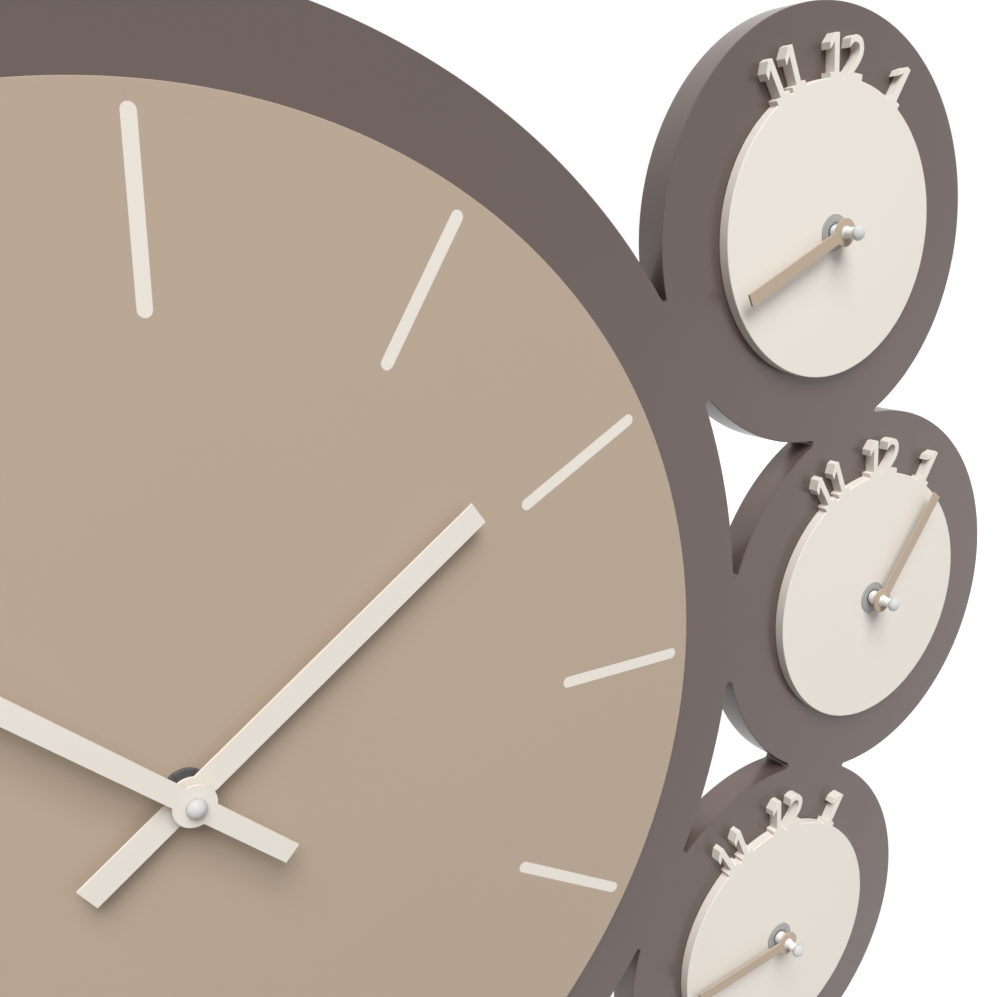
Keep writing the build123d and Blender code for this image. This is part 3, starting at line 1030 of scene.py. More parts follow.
class PaintShop:
    """Gives finishes to pieces, and one material to each finish."""

    made: dict[str, bpy.types.Material] = {}

    @classmethod
    def paint(cls, finish: Finish) -> bpy.types.Material:
        """Give a finish's material, made at its first use.

        Args:
            finish: the finish.

        Returns:
            The material.
        """
        if finish.name not in cls.made:
            cls.made[finish.name] = finish.material()
        return cls.made[finish.name]

    @classmethod
    def settle(
        cls, piece: Piece, finish: Finish | None, body: str, slot: str, *nodes: str
    ) -> None:
        """Finish a new piece and hand it to the body that carries it.

        Args:
            piece: the new object.
            finish: its finish, or None where its parts already have theirs.
            body: the body that it rides on.
            slot: the record's material slot; not used.
            nodes: the solids that it stands for.
        """
        if finish:
            piece.data.materials.clear()
            piece.data.materials.append(cls.paint(finish))
        if nodes:
            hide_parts(*nodes)
        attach(piece, body)
        LOG.info("made %s, %d faces, on %s", piece.name, len(piece.data.polygons), body)

    @classmethod
    def dress(cls, node: str, finish: Finish) -> None:
        """Give a finish to a solid that stays as it is.

        Args:
            node: the solid's name.
            finish: its finish.
        """
        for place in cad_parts[node].material_slots:
            place.material = cls.paint(finish)
        LOG.info("dressed %s", node)


@dataclass
class Board:
    """The lacquered board: one large and three small discs in one outline."""

    main_radius: float = 230.0
    lobe_radius: float = 85.0
    outer_fillet: float = 1.0
    gap_fillet: float = 1.5
    fillet_steps: int = 14
    edge: float = 0.4
    window: float = 58.0
    window_corner: float = 3.0
    pocket_radius: float = 6.5
    pocket_rise: float = 8.0
    pocket_depth: float = 7.0
    chord: float = 2.4

    def junction(self, lobe_deg: float, side: int, fillet: float) -> Place:
        """Find the fillet where a small disc meets the large one.

        Args:
            lobe_deg: where the small disc is, round the large one.
            side: +1 for the upper side, -1 for the lower.
            fillet: the fillet's radius.

        Returns:
            The fillet's centre.
        """
        one = self.main_radius + fillet
        two = self.lobe_radius + fillet
        swing = degrees(acos((one**2 + REACH**2 - two**2) / (2 * one * REACH)))
        return polar(MAIN_AT, one, lobe_deg + side * swing)

    def notch(self, middle_deg: float, side: int, fillet: float) -> Place:
        """Find the fillet where two small discs meet.

        Args:
            middle_deg: the angle halfway between them, round the large disc.
            side: +1 for the outer side, -1 for the inner.
            fillet: the fillet's radius.

        Returns:
            The fillet's centre.
        """
        half = radians(SPREAD_DEG / 2)
        leg = sqrt((self.lobe_radius + fillet) ** 2 - (REACH * sin(half)) ** 2)
        return polar(MAIN_AT, REACH * cos(half) + side * leg, middle_deg)

    def trace(
        self, name: str, rings: list[Ring], fillets: list[Place], back: float, thick: float
    ) -> Piece:
        """Draw a closed outline of arcs that run anticlockwise, with a fillet after each.

        Args:
            name: the object's name.
            rings: the circles that the outline follows, in order.
            fillets: the centre of the fillet between each ring and the next.
            back: the depth of the back.
            thick: the thickness.

        Returns:
            The new solid.
        """
        first = rings[0]
        start = polar(first.centre, first.radius, heading(first.centre, fillets[-1]))
        piece = Bench.pen(name, start, back)
        for number, ring in enumerate(rings):
            before = fillets[number - 1]
            after = fillets[number]
            turn = (heading(ring.centre, after) - heading(ring.centre, before)) % 360
            steps = ceil(radians(turn) * ring.radius / self.chord)
            Bench.arc(ring.centre, back, turn, steps)
            following = rings[(number + 1) % len(rings)]
            swing = (heading(after, ring.centre) - heading(after, following.centre)) % 360
            Bench.arc(after, back, -swing, self.fillet_steps)
        Bench.thicken(thick)
        return piece

    def outline(self) -> Piece:
        """Draw the board with its two curved gaps open.

        Returns:
            The new solid.
        """
        thick = BOARD_FRONT - BOARD_BACK
        main = Ring(MAIN_AT, self.main_radius)
        lower, middle, upper = (
            Ring(SMALL_AT[name], self.lobe_radius) for name in ("lower", "middle", "upper")
        )
        half = SPREAD_DEG / 2
        outer, inner = self.outer_fillet, self.gap_fillet
        fillets = [
            self.junction(-SPREAD_DEG, -1, outer),
            self.notch(-half, 1, outer),
            self.notch(half, 1, outer),
            self.junction(SPREAD_DEG, 1, outer),
        ]
        plate = self.trace("board", [main, lower, middle, upper], fillets, BOARD_BACK, thick)
        for below, above, below_deg in ((middle, upper, 0.0), (lower, middle, -SPREAD_DEG)):
            fillets = [
                self.junction(below_deg + SPREAD_DEG, -1, inner),
                self.notch(below_deg + half, -1, inner),
                self.junction(below_deg, 1, inner),
            ]
            back = BOARD_BACK - THROUGH
            gap = self.trace("gap", [main, above, below], fillets, back, thick + 2 * THROUGH)
            Bench.combine(plate, Blend.CUT, gap)
        return plate

    def build(self) -> None:
        """Make the board, break its edges, and cut the windows and screw pockets behind it."""
        plate = self.outline()
        Bench.soften(plate, self.edge, steps=3)
        back = BOARD_BACK - THROUGH
        size = (self.window, self.window)
        for at in (MAIN_AT, *SMALL_AT.values()):
            window = Bench.slab(
                "window", at, size, self.window_corner, back, BOARD_FRONT + THROUGH
            )
            Bench.combine(plate, Blend.CUT, window)
        floor = BOARD_BACK + self.pocket_depth
        for across in HANGERS_AT:
            room = Bench.slot(
                "room", (across, 0.0), self.pocket_radius, self.pocket_rise, back, floor
            )
            Bench.combine(plate, Blend.CUT, room)
        Bench.smooth(plate)
        PaintShop.settle(plate, BROWN, "clock", "board_brown", "back_plate")


def dial_disc(name: str, at: Place, radius: float, front: float, edge: float, sides: int) -> Piece:
    """Make a raised dial on the board, with softened edges and a bore for its bush.

    Args:
        name: the object's name.
        at: the centre.
        radius: the radius.
        front: the depth of its front.
        edge: the width of the softened edge.
        sides: the number of sides.

    Returns:
        The new object.
    """
    dial = Bench.disc(name, at, radius, BOARD_FRONT, front, sides)
    Bench.soften(dial, edge, steps=3)
    bore = Bench.disc("bore", at, BUSH_HOLE, BOARD_FRONT - THROUGH, front + THROUGH, BORE_SIDES)
    Bench.combine(dial, Blend.CUT, bore)
    return dial


@dataclass
class MainDial:
    """The large dial and the twelve flush strips let into it."""

    radius: float = 199.8
    sides: int = 420
    edge: float = 0.2
    bar_length: float = 54.5
    bar_width: float = 4.35
    bar_middle: float = 166.95
    bar_depth: float = 1.6
    bar_edge: float = 0.06
    bar_edge_deg: float = 60.0
    bar_steps: int = 20

    def ring_of_bars(self, name: str, depth: float, front: float) -> Piece:
        """Make the twelve strips with round ends from one at the top of the dial.

        Args:
            name: the name of the ring.
            depth: the thickness of the strips.
            front: the depth of their front.

        Returns:
            One object of twelve strips.
        """
        straight = self.bar_length - self.bar_width
        low = (0.0, self.bar_middle - straight / 2)
        back = front - depth
        first = Bench.slot(
            "bar", low, self.bar_width / 2, straight, back, front, self.bar_steps
        )
        strips = Bench.copies(first, HOURS)
        for hour, strip in enumerate(strips):
            Bench.place(strip, MAIN_AT, hour * HOUR_DEG)
        return Bench.gather(strips, name)

    def build(self) -> None:
        """Make the dial with its slots, and the strips that fill them."""
        dial = dial_disc(
            "main_dial_disc", MAIN_AT, self.radius, MAIN_FRONT, self.edge, self.sides
        )
        slots = self.ring_of_bars("slots", self.bar_depth + THROUGH, MAIN_FRONT + THROUGH)
        Bench.combine(dial, Blend.CUT, slots)
        Bench.smooth(dial)
        PaintShop.settle(dial, TAN, "clock", "dial_tan", "main_dial")
        bars = self.ring_of_bars("hour_strips", self.bar_depth, MAIN_FRONT)
        Bench.soften(bars, self.bar_edge, angle_deg=self.bar_edge_deg)
        PaintShop.settle(bars, CREAM, "clock", "cream", "hour_bars")


@dataclass
class SmallDial:
    """A small cream dial with raised numerals that stand on the top of its rim."""

    place: str
    radius: float = 57.4
    sides: int = 240
    edge: float = 0.35
    hours: tuple[int, ...] = (11, 12, 1)
    feet: float = 57.0
    tops: float = 73.2
    boldness: float = 0.012
    narrowing: float = 0.9
    digit_edge: float = 0.16
    digit_edge_deg: float = 40.0
    text_weld: float = 1e-4
    text_steps: int = 6
    space: float = 2.6
    stroke: float = 2.7
    flag: float = 2.5
    flag_drop: float = 3.3
    flag_top: float = 0.5
    flag_slant: float = 0.8
    foot: float = 2.3
    foot_high: float = 2.2

    def build(self) -> None:
        """Make the disc and its numerals."""
        at = SMALL_AT[self.place]
        name = f"{self.place}_disc"
        dial = dial_disc(name, at, self.radius, SMALL_FRONT, self.edge, self.sides)
        Bench.smooth(dial)
        PaintShop.settle(dial, CREAM, "clock", "cream", f"{self.place}_dial")
        digits = [digit for hour in self.hours for digit in self.numeral(hour, at)]
        raised = Bench.gather(digits, f"{self.place}_numerals")
        Bench.soften(raised, self.digit_edge, angle_deg=self.digit_edge_deg)
        PaintShop.settle(raised, CREAM, "clock", "cream")

    def numeral(self, hour: int, at: Place) -> list[Piece]:
        """Make the digits of one hour, each upright on the rim.

        Args:
            hour: the hour.
            at: the middle of the dial.

        Returns:
            The digits, in their places.
        """
        digits = [self.one() if sign == "1" else self.digit(sign) for sign in str(hour)]
        widths = [digit.dimensions.x / MM for digit in digits]
        middle = (self.feet + self.tops) / 2
        run = -(sum(widths) + self.space * (len(digits) - 1)) / 2
        for digit, width in zip(digits, widths):
            swing = degrees((run + width / 2) / middle)
            Bench.place(digit, at, hour % HOURS * HOUR_DEG + swing)
            run += width + self.space
        return digits

    def one(self) -> Piece:
        """Draw a one with a flag and a foot, above the origin, with the foot in the rim.

        Returns:
            The new object.
        """
        height = self.tops - self.feet
        shoulder = height - self.stroke - (1 - self.flag_slant) * self.flag_drop
        piece = Bench.pen("one", (self.stroke / 2 + self.foot, self.feet), BOARD_FRONT)
        for run in (
            (0, self.foot_high),
            (-self.foot, 0),
            (0, height - self.foot_high),
            (self.flag_top - self.stroke, 0),
            (-self.flag_top - self.flag, -self.flag_drop),
            (0, -self.stroke),
            (self.flag, self.flag_slant * self.flag_drop),
            (0, self.foot_high - shoulder),
            (-self.foot, 0),
            (0, -self.foot_high),
        ):
            Bench.line(*run)
        Bench.thicken(SMALL_FRONT - BOARD_FRONT)
        return piece

    def digit(self, sign: str) -> Piece:
        """Make one digit that stands above the origin with its feet in the rim.

        Args:
            sign: the digit.

        Returns:
            The new object.
        """
        Bench.clear()
        bpy.ops.object.text_add(rotation=(radians(90), 0, 0))
        text = bpy.context.object.data
        text.body = sign
        text.offset = self.boldness
        text.resolution_u = self.text_steps
        bpy.ops.object.convert(target="MESH")
        piece = Bench.named("digit")
        points = list(zip(*(point.co for point in piece.data.vertices)))
        low, high = (Vector(map(end, points)) for end in (min, max))
        scale = (self.tops - self.feet) * MM / (high.z - low.z)
        Bench.open(piece)
        bpy.ops.mesh.remove_doubles(threshold=self.text_weld)
        bpy.ops.transform.translate(value=(-(low.x + high.x) / 2, 0, -low.z))
        size = (scale * self.narrowing, 1.0, scale)
        bpy.ops.transform.resize(value=size, center_override=(0, 0, 0))
        bpy.ops.transform.translate(value=Bench.spot((0, self.feet), BOARD_FRONT))
        bpy.ops.mesh.select_all(action="SELECT")
        Bench.line(0, 0, SMALL_FRONT - BOARD_FRONT)
        Bench.close()
        return piece


@dataclass
class Hand:
    """A flat strip hand with a round hub."""

    name: str
    node: str
    body: str
    slot: str
    finish: Finish
    at: Place
    front: float
    points_deg: float
    tip: float
    tail: float
    width: float
    hub: float
    bore: float
    thick: float = 0.9
    edge: float = 0.12
    side_steps: int = 16
    round_steps: int = 40

    def build(self) -> None:
        """Draw the hand upright, bore its hub, and turn it to where it points."""
        back = self.front - self.thick
        half = self.width / 2
        reach = sqrt(self.hub**2 - half**2)
        swing = 2 * degrees(acos(half / self.hub))
        hand = Bench.pen(self.name, (half, reach), back)
        Bench.line(0, self.tip - reach)
        Bench.line(-self.width, 0)
        Bench.line(0, reach - self.tip)
        if self.tail > self.hub:
            Bench.arc((0, 0), back, swing, self.side_steps)
            Bench.line(0, reach - self.tail)
            Bench.line(self.width, 0)
            Bench.line(0, self.tail - reach)
            Bench.arc((0, 0), back, swing, self.side_steps)
        else:
            Bench.arc((0, 0), back, 180 + swing, self.round_steps)
        Bench.thicken(self.thick)
        ends = back - THROUGH, self.front + THROUGH
        bore = Bench.disc("bore", (0, 0), self.bore, *ends, BORE_SIDES)
        Bench.combine(hand, Blend.CUT, bore)
        Bench.soften(hand, self.edge)
        Bench.place(hand, self.at, self.points_deg)
        PaintShop.settle(hand, self.finish, self.body, self.slot, self.node)


@dataclass
class Hub:
    """What shows in the middle of a dial: ring nut, hour hand's sleeve, bright shafts and cap."""

    place: str
    at: Place
    dial_front: float
    cap_base: float
    metals: tuple[str, str]
    nut_finish: Steel
    nut_edge: float
    nut_radius: float = 7.2
    nut_thick: float = 1.0
    nut_mouth: float = 3.7
    nut_step: float = 0.55
    nut_soft: float = 0.05
    collet_radius: float = 3.0
    collet_gap: float = 0.2
    collet_edge: float = 0.1
    tube_radius: float = 2.5
    hand_back: float = MAIN_FRONT + 4.7
    shaft_radius: float = 2.1
    cap_radius: float = 3.05
    cap_rim: float = 1.2
    cap_height: float = 2.9
    cap_seat: float = 1.0
    cap_edge: float = 0.25
    cap_soft: float = 0.3
    dome_steps: int = 10

    def nut(self) -> Piece:
        """Turn the flat ring nut and give it its finish.

        Returns:
            The new object.
        """
        face = self.dial_front + self.nut_thick
        profile = (
            (BUSH_HOLE, self.dial_front),
            (self.nut_radius, self.dial_front),
            (self.nut_radius, face - self.nut_edge),
            (self.nut_radius - self.nut_edge, face),
            (self.nut_mouth, face),
            (self.nut_mouth, face - self.nut_step),
            (BUSH_HOLE, face - self.nut_step),
            (BUSH_HOLE, self.dial_front),
        )
        ring = Bench.turned(f"{self.place}_nut", self.at, profile, steps=96)
        Bench.soften(ring, self.nut_soft, angle_deg=25.0)
        finish = self.nut_finish.on(self.place, self.at)
        ring.data.materials.append(PaintShop.paint(finish))
        return ring

    def collet(self) -> Piece:
        """Turn the sleeve that holds the hour hand on its tube.

        Returns:
            The new object.
        """
        low = self.dial_front + self.nut_thick - self.nut_step + self.collet_gap
        profile = (
            (self.tube_radius, low),
            (self.collet_radius - self.collet_edge, low),
            (self.collet_radius, low + self.collet_edge),
            (self.collet_radius, self.hand_back),
            (self.tube_radius, self.hand_back),
            (self.tube_radius, low),
        )
        sleeve = Bench.turned(f"{self.place}_collet", self.at, profile, BORE_SIDES)
        Bench.smooth(sleeve)
        return sleeve

    def cap(self) -> Piece:
        """Turn the domed cap that closes the shaft.

        Returns:
            The new object.
        """
        top = self.cap_base + self.cap_height
        dome = self.cap_height - self.cap_rim
        ball = (self.cap_radius**2 + dome**2) / (2 * dome)
        full = acos(1 - dome / ball)
        profile = [
            (0.0, self.cap_base + self.cap_seat),
            (self.shaft_radius, self.cap_base + self.cap_seat),
            (self.shaft_radius, self.cap_base),
            (self.cap_radius - self.cap_edge, self.cap_base),
            (self.cap_radius, self.cap_base + self.cap_edge),
        ]
        for step in range(self.dome_steps + 1):
            angle = full * (1 - step / self.dome_steps)
            profile.append((ball * sin(angle), top - ball * (1 - cos(angle))))
        piece = Bench.turned(f"{self.place}_cap_dome", self.at, tuple(profile))
        Bench.soften(piece, self.cap_soft, steps=3, angle_deg=20.0)
        return piece

    def build(self) -> Piece:
        """Make the cap and the sleeve, and dress the tube and the shaft.

        Returns:
            The nut.
        """
        # The sleeve, the tube and the shaft take the lifted near-white colour, which is partly
        # painted light.
        lightened, satin = (metal.on(self.place, self.at) for metal in (LIGHTENED_SHAFT, SATIN))
        body = f"{self.place}_minute"
        PaintShop.settle(self.cap(), satin, body, "shaft_steel", f"{self.place}_cap")
        PaintShop.settle(self.collet(), lightened, f"{self.place}_hour", "shaft_steel")
        for node in self.metals:
            PaintShop.dress(node, lightened)
        return self.nut()


@dataclass
class Hangers:
    """The two keyhole plates behind the board, their screws, and the soft pads against the wall."""

    size: Pair = (30.0, 26.0)
    corner: float = 4.0
    thick: float = 1.5
    edge: float = 0.18
    rise: float = 8.0
    entry_radius: float = 4.0
    slot_radius: float = 2.2
    screw_out: float = 11.0
    screw_radius: float = 1.5
    screw_profile: tuple[Pair, ...] = (
        (0.0, 9.0), (1.5, 7.0), (1.5, 0.0), (2.9, 0.0),
        (2.9, -0.35), (2.5, -0.85), (1.7, -1.12), (0.0, -1.2),
    )
    screw_edge: float = 0.06
    screw_turns: tuple[float, ...] = (20.0, 65.0, 41.0, 8.0)
    cross: Pair = (0.75, 3.2)
    cross_corner: float = 0.12
    cross_floor: float = -0.45
    pad_radius: float = 9.0
    pad_edge: float = 0.9
    pad_ring: float = 200.0
    pad_angles: tuple[float, ...] = (115.0, 180.0, 245.0)
    pad_out: float = 375.0

    def plate(self, across: float) -> Piece:
        """Make one plate with its keyhole and screw holes.

        Args:
            across: where it is, along the width.

        Returns:
            The new object.
        """
        ends = -THROUGH, self.thick + THROUGH
        middle = (across, self.rise / 2)
        plate = Bench.slab("plate", middle, self.size, self.corner, 0.0, self.thick)
        keyhole = Bench.slot("keyhole", (across, 0.0), self.slot_radius, self.rise, *ends)
        Bench.combine(plate, Blend.CUT, keyhole)
        for out, radius in (
            (0.0, self.entry_radius),
            (-self.screw_out, self.screw_radius),
            (self.screw_out, self.screw_radius),
        ):
            hole = Bench.disc("hole", (across + out, 0.0), radius, *ends, HOLE_SIDES)
            Bench.combine(plate, Blend.CUT, hole)
        Bench.soften(plate, self.edge)
        return plate

    def screw(self) -> Piece:
        """Make one pan-head screw with a cross recess, at the origin.

        Returns:
            The new object.
        """
        screw = Bench.turned("screw", (0.0, 0.0), self.screw_profile, steps=40)
        back = self.screw_profile[-1][1] - THROUGH
        for size in (self.cross, self.cross[::-1]):
            arm = Bench.slab("arm", (0.0, 0.0), size, self.cross_corner, back, self.cross_floor)
            Bench.combine(screw, Blend.CUT, arm)
        Bench.soften(screw, self.screw_edge, angle_deg=40.0)
        return screw

    def spread(
        self, first: Piece, spots: list[Place], turns: tuple[float, ...], name: str
    ) -> Piece:
        """Set a piece and its copies on several spots.

        Args:
            first: the piece, at the origin.
            spots: the places.
            turns: the clock angle at each.
            name: the name of what they become.

        Returns:
            One object.
        """
        pieces = Bench.copies(first, len(spots))
        for piece, spot, turn in zip(pieces, spots, turns):
            Bench.place(piece, spot, turn)
        return Bench.gather(pieces, name)

    def build(self) -> None:
        """Make the plates, the screws and the pads."""
        plates = Bench.gather([self.plate(across) for across in HANGERS_AT], "keyhole_plates")
        PaintShop.settle(plates, ZINC, "clock", "zinc_steel", "hanger_plates")
        sides = (-self.screw_out, self.screw_out)
        spots = [(across + out, 0.0) for across in HANGERS_AT for out in sides]
        screws = self.spread(self.screw(), spots, self.screw_turns, "plate_screws")
        PaintShop.settle(screws, SCREW, "clock", "zinc_steel", "hanger_screws")
        spots = [polar(MAIN_AT, self.pad_ring, angle) for angle in self.pad_angles]
        spots += [polar(MAIN_AT, self.pad_out, angle) for angle in (SPREAD_DEG, -SPREAD_DEG)]
        pad = Bench.disc("pad", (0.0, 0.0), self.pad_radius, WALL, BOARD_BACK, DISH_SIDES)
        Bench.soften(pad, self.pad_edge, steps=4)
        pads = self.spread(pad, spots, (0.0,) * len(spots), "felt_pads")
        PaintShop.settle(pads, FELT, "clock", "felt_rubber", "wall_pads")


@dataclass
class Movement:
    """The back of a battery movement: its moulded case or cover, its cell and its setting knob."""

    place: str
    at: Place
    size: float = 56.0
    corner: float = 3.0
    case_edge: float = 0.5
    cover_edge: float = 0.4
    inside: float = 13.3
    cover_inside: float = 0.3
    bay: Pair = (53.0, 14.9)
    bay_drop: float = 19.0
    bay_corner: float = 1.5
    bush_radius: float = 3.15
    bush_root: float = 1.0
    post_radius: float = 3.0
    post_root: float = 0.7
    post_rise: float = 4.0
    tube_room: Pair = (2.55, 9.0)
    shaft_room: Pair = (2.15, 5.0)
    stem_hole: float = 1.55
    stem_hole_depth: float = 4.0
    sign_out: float = 21.0
    sign_drop: float = 9.0
    sign_size: Pair = (3.0, 0.8)
    sign_corner: float = 0.2
    sign_rise: float = 0.2
    sign_root: float = 0.3
    dish_margin: float = 1.8
    relief_depth: float = 0.5
    grooves: int = 3
    groove_from: Place = (-20.0, 4.0)
    groove_pitch: float = 4.0
    groove_radius: float = 1.0
    groove_rise: float = 15.0
    knob_reach: float = 12.0
    knob_deg: float = 60.0
    knob_radius: float = 6.5
    knob_back: float = -3.7
    knob_front: float = -1.5
    knob_edge: float = 0.15
    grips: int = 18
    grip_radius: float = 0.6
    grip_out: float = 0.15
    knob_rim: float = 1.9
    knob_dish: float = 0.5
    stem_radius: float = 1.5
    stem_root: float = 0.8
    stem_end: float = CASE_BACK + 3.7
    main_stem_end: float = 10.6
    cell_depth: float = 6.15
    cell_profile: tuple[Pair, ...] = (
        (0.0, 26.1), (2.2, 26.1), (2.7, 25.7), (2.7, 24.8),
        (5.6, 24.8), (6.2, 25.1), (6.8, 25.0), (7.1, 24.6),
        (7.1, -23.9), (6.6, -24.4), (5.8, -24.4), (5.4, -24.2), (0.0, -24.2),
    )
    cell_edge: float = 0.1

    def knob_at(self) -> Place:
        """Give the place of the setting knob."""
        return polar(self.at, self.knob_reach, self.knob_deg)

    def bay_at(self) -> Place:
        """Give the middle of the battery bay."""
        return (self.at[0], self.at[1] - self.bay_drop)

    def block(self, name: str, front: float, edge: float) -> Piece:
        """Make the square block of a case or a cover, with softened edges.

        Args:
            name: the last word of its name.
            front: the depth of its front.
            edge: the width of its softened edges.

        Returns:
            The new object.
        """
        size = (self.size, self.size)
        block = Bench.slab(f"{self.place}_{name}", self.at, size, self.corner, CASE_BACK, front)
        Bench.soften(block, edge, steps=3)
        return block

    def openings(self, stem_floor: float) -> list[Piece]:
        """Make the tools that open the battery bay and the hole of the knob's stem.

        Args:
            stem_floor: the depth that the stem's hole reaches.

        Returns:
            The two tools.
        """
        low = CASE_BACK - THROUGH
        return [
            Bench.slab("bay", self.bay_at(), self.bay, self.bay_corner, low, self.inside),
            Bench.disc("hole", self.knob_at(), self.stem_hole, low, stem_floor, HOLE_SIDES),
        ]

    def case(self) -> Piece:
        """Make the sealed case of a small clock's movement.

        Returns:
            The new object.
        """
        shell = self.block("case", BOARD_FRONT, self.case_edge)
        foot = BOARD_FRONT - self.bush_root
        bush = Bench.disc("bush", self.at, self.bush_radius, foot, BUSH_END, BORE_SIDES)
        Bench.combine(shell, Blend.JOIN, bush)
        bay, hole = self.openings(CASE_BACK + self.stem_hole_depth)
        ends = BUSH_END + THROUGH, self.tube_room[1] + THROUGH
        rooms = [
            Bench.disc("room", self.at, *room, end, BORE_SIDES)
            for room, end in zip((self.tube_room, self.shaft_room), ends)
        ]
        Bench.combine(shell, Blend.CUT, bay, *rooms, hole)
        return shell

    def cover(self) -> Piece:
        """Make the back cover of the main movement, with its rear bearing.

        Returns:
            The new object.
        """
        inner = self.cover_inside
        shell = self.block("lid", inner, self.cover_edge)
        ends = inner - self.post_root, inner + self.post_rise
        post = Bench.disc("post", self.at, self.post_radius, *ends, HOLE_SIDES)
        Bench.combine(shell, Blend.JOIN, post)
        bay, hole = self.openings(self.inside)
        pivot = Bench.disc("hole", self.at, self.stem_hole, inner, self.inside, HOLE_SIDES)
        Bench.combine(shell, Blend.CUT, bay, pivot, hole)
        return shell

    def relief(self, shell: Piece) -> None:
        """Raise the bay's signs, and sink a dish round the knob and finger grooves.

        Args:
            shell: the case or cover.
        """
        level, upright = self.sign_size, self.sign_size[::-1]
        ends = CASE_BACK - self.sign_rise, CASE_BACK + self.sign_root
        signs = ((-self.sign_out, level), (self.sign_out, level), (self.sign_out, upright))
        for out, size in signs:
            sign_at = (self.at[0] + out, self.at[1] - self.sign_drop)
            sign = Bench.slab("sign", sign_at, size, self.sign_corner, *ends)
            Bench.combine(shell, Blend.JOIN, sign)
        ends = CASE_BACK - THROUGH, CASE_BACK + self.relief_depth
        dish_radius = self.knob_radius + self.dish_margin
        dish = Bench.disc("dish", self.knob_at(), dish_radius, *ends, DISH_SIDES)
        Bench.combine(shell, Blend.CUT, dish)
        across, up = self.at[0] + self.groove_from[0], self.at[1] + self.groove_from[1]
        for step in range(self.grooves):
            groove_at = (across + self.groove_pitch * step, up)
            groove = Bench.slot("groove", groove_at, self.groove_radius, self.groove_rise, *ends)
            Bench.combine(shell, Blend.CUT, groove)

    def cell(self) -> Piece:
        """Turn the dry cell along its length and lay it in the bay.

        Returns:
            The new object.
        """
        cell = Bench.turned(f"{self.place}_cell", (0.0, 0.0), self.cell_profile, BORE_SIDES)
        Bench.soften(cell, self.cell_edge, angle_deg=25.0)
        Bench.lay(cell, self.bay_at(), self.cell_depth)
        return cell

    def knob(self, stem_end: float) -> Piece:
        """Make the grooved knob and the stem that it turns.

        Args:
            stem_end: the depth of the stem's front end.

        Returns:
            The new object.
        """
        at = self.knob_at()
        back, front = self.knob_back, self.knob_front
        knob = Bench.disc(f"{self.place}_grip", at, self.knob_radius, back, front, sides=108)
        ring = self.knob_radius + self.grip_out
        spots = [polar(at, ring, step * 360 / self.grips) for step in range(self.grips)]
        ends = back - THROUGH, front + THROUGH
        notches = [Bench.disc("notch", spot, self.grip_radius, *ends, sides=12) for spot in spots]
        Bench.combine(knob, Blend.CUT, Bench.gather(notches, "notches"))
        Bench.soften(knob, self.knob_edge)
        ends = back - THROUGH, back + self.knob_dish
        dish = Bench.disc("dish", at, self.knob_radius - self.knob_rim, *ends, DISH_SIDES)
        Bench.combine(knob, Blend.CUT, dish)
        root = front - self.stem_root
        stem = Bench.disc("stem", at, self.stem_radius, root, stem_end, HOLE_SIDES)
        Bench.combine(knob, Blend.JOIN, stem)
        Bench.smooth(knob)
        return knob

    def build(self) -> None:
        """Make the shell, the cell and the knob."""
        main = self.place == "main"
        shell = self.cover() if main else self.case()
        self.relief(shell)
        Bench.smooth(shell)
        node = "main_cover" if main else f"{self.place}_movement"
        PaintShop.settle(shell, BLACK, "clock", "movement_black", node)
        sleeve = Sleeve(f"{self.place}_sleeve", self.bay_at())
        PaintShop.settle(self.cell(), sleeve, "clock", "cell_grey", f"{self.place}_battery")
        node = "main_setting_knob" if main else f"{self.place}_knob"
        knob = self.knob(self.main_stem_end if main else self.stem_end)
        PaintShop.settle(knob, KNOB, f"{self.place}_setting", "knob_white", node)


@dataclass(frozen=True)
class Lamp:
    """A square soft lamp that faces the clock, in metres and watts."""

    name: str
    at: Point
    size: float
    power: float
    aim: Point = (0.1, 0.0, -0.15)

    def hang(self) -> None:
        """Add the lamp to the scene."""
        data = bpy.data.lights.new(self.name, "AREA")
        data.shape = "SQUARE"
        data.size = self.size
        data.energy = self.power
        lamp = bpy.data.objects.new(self.name, data)
        bpy.context.scene.collection.objects.link(lamp)
        lamp.visible_glossy = False
        lamp.location = self.at
        way = Vector(self.aim) - Vector(self.at)
        lamp.rotation_euler = way.to_track_quat("-Z", "Y").to_euler()


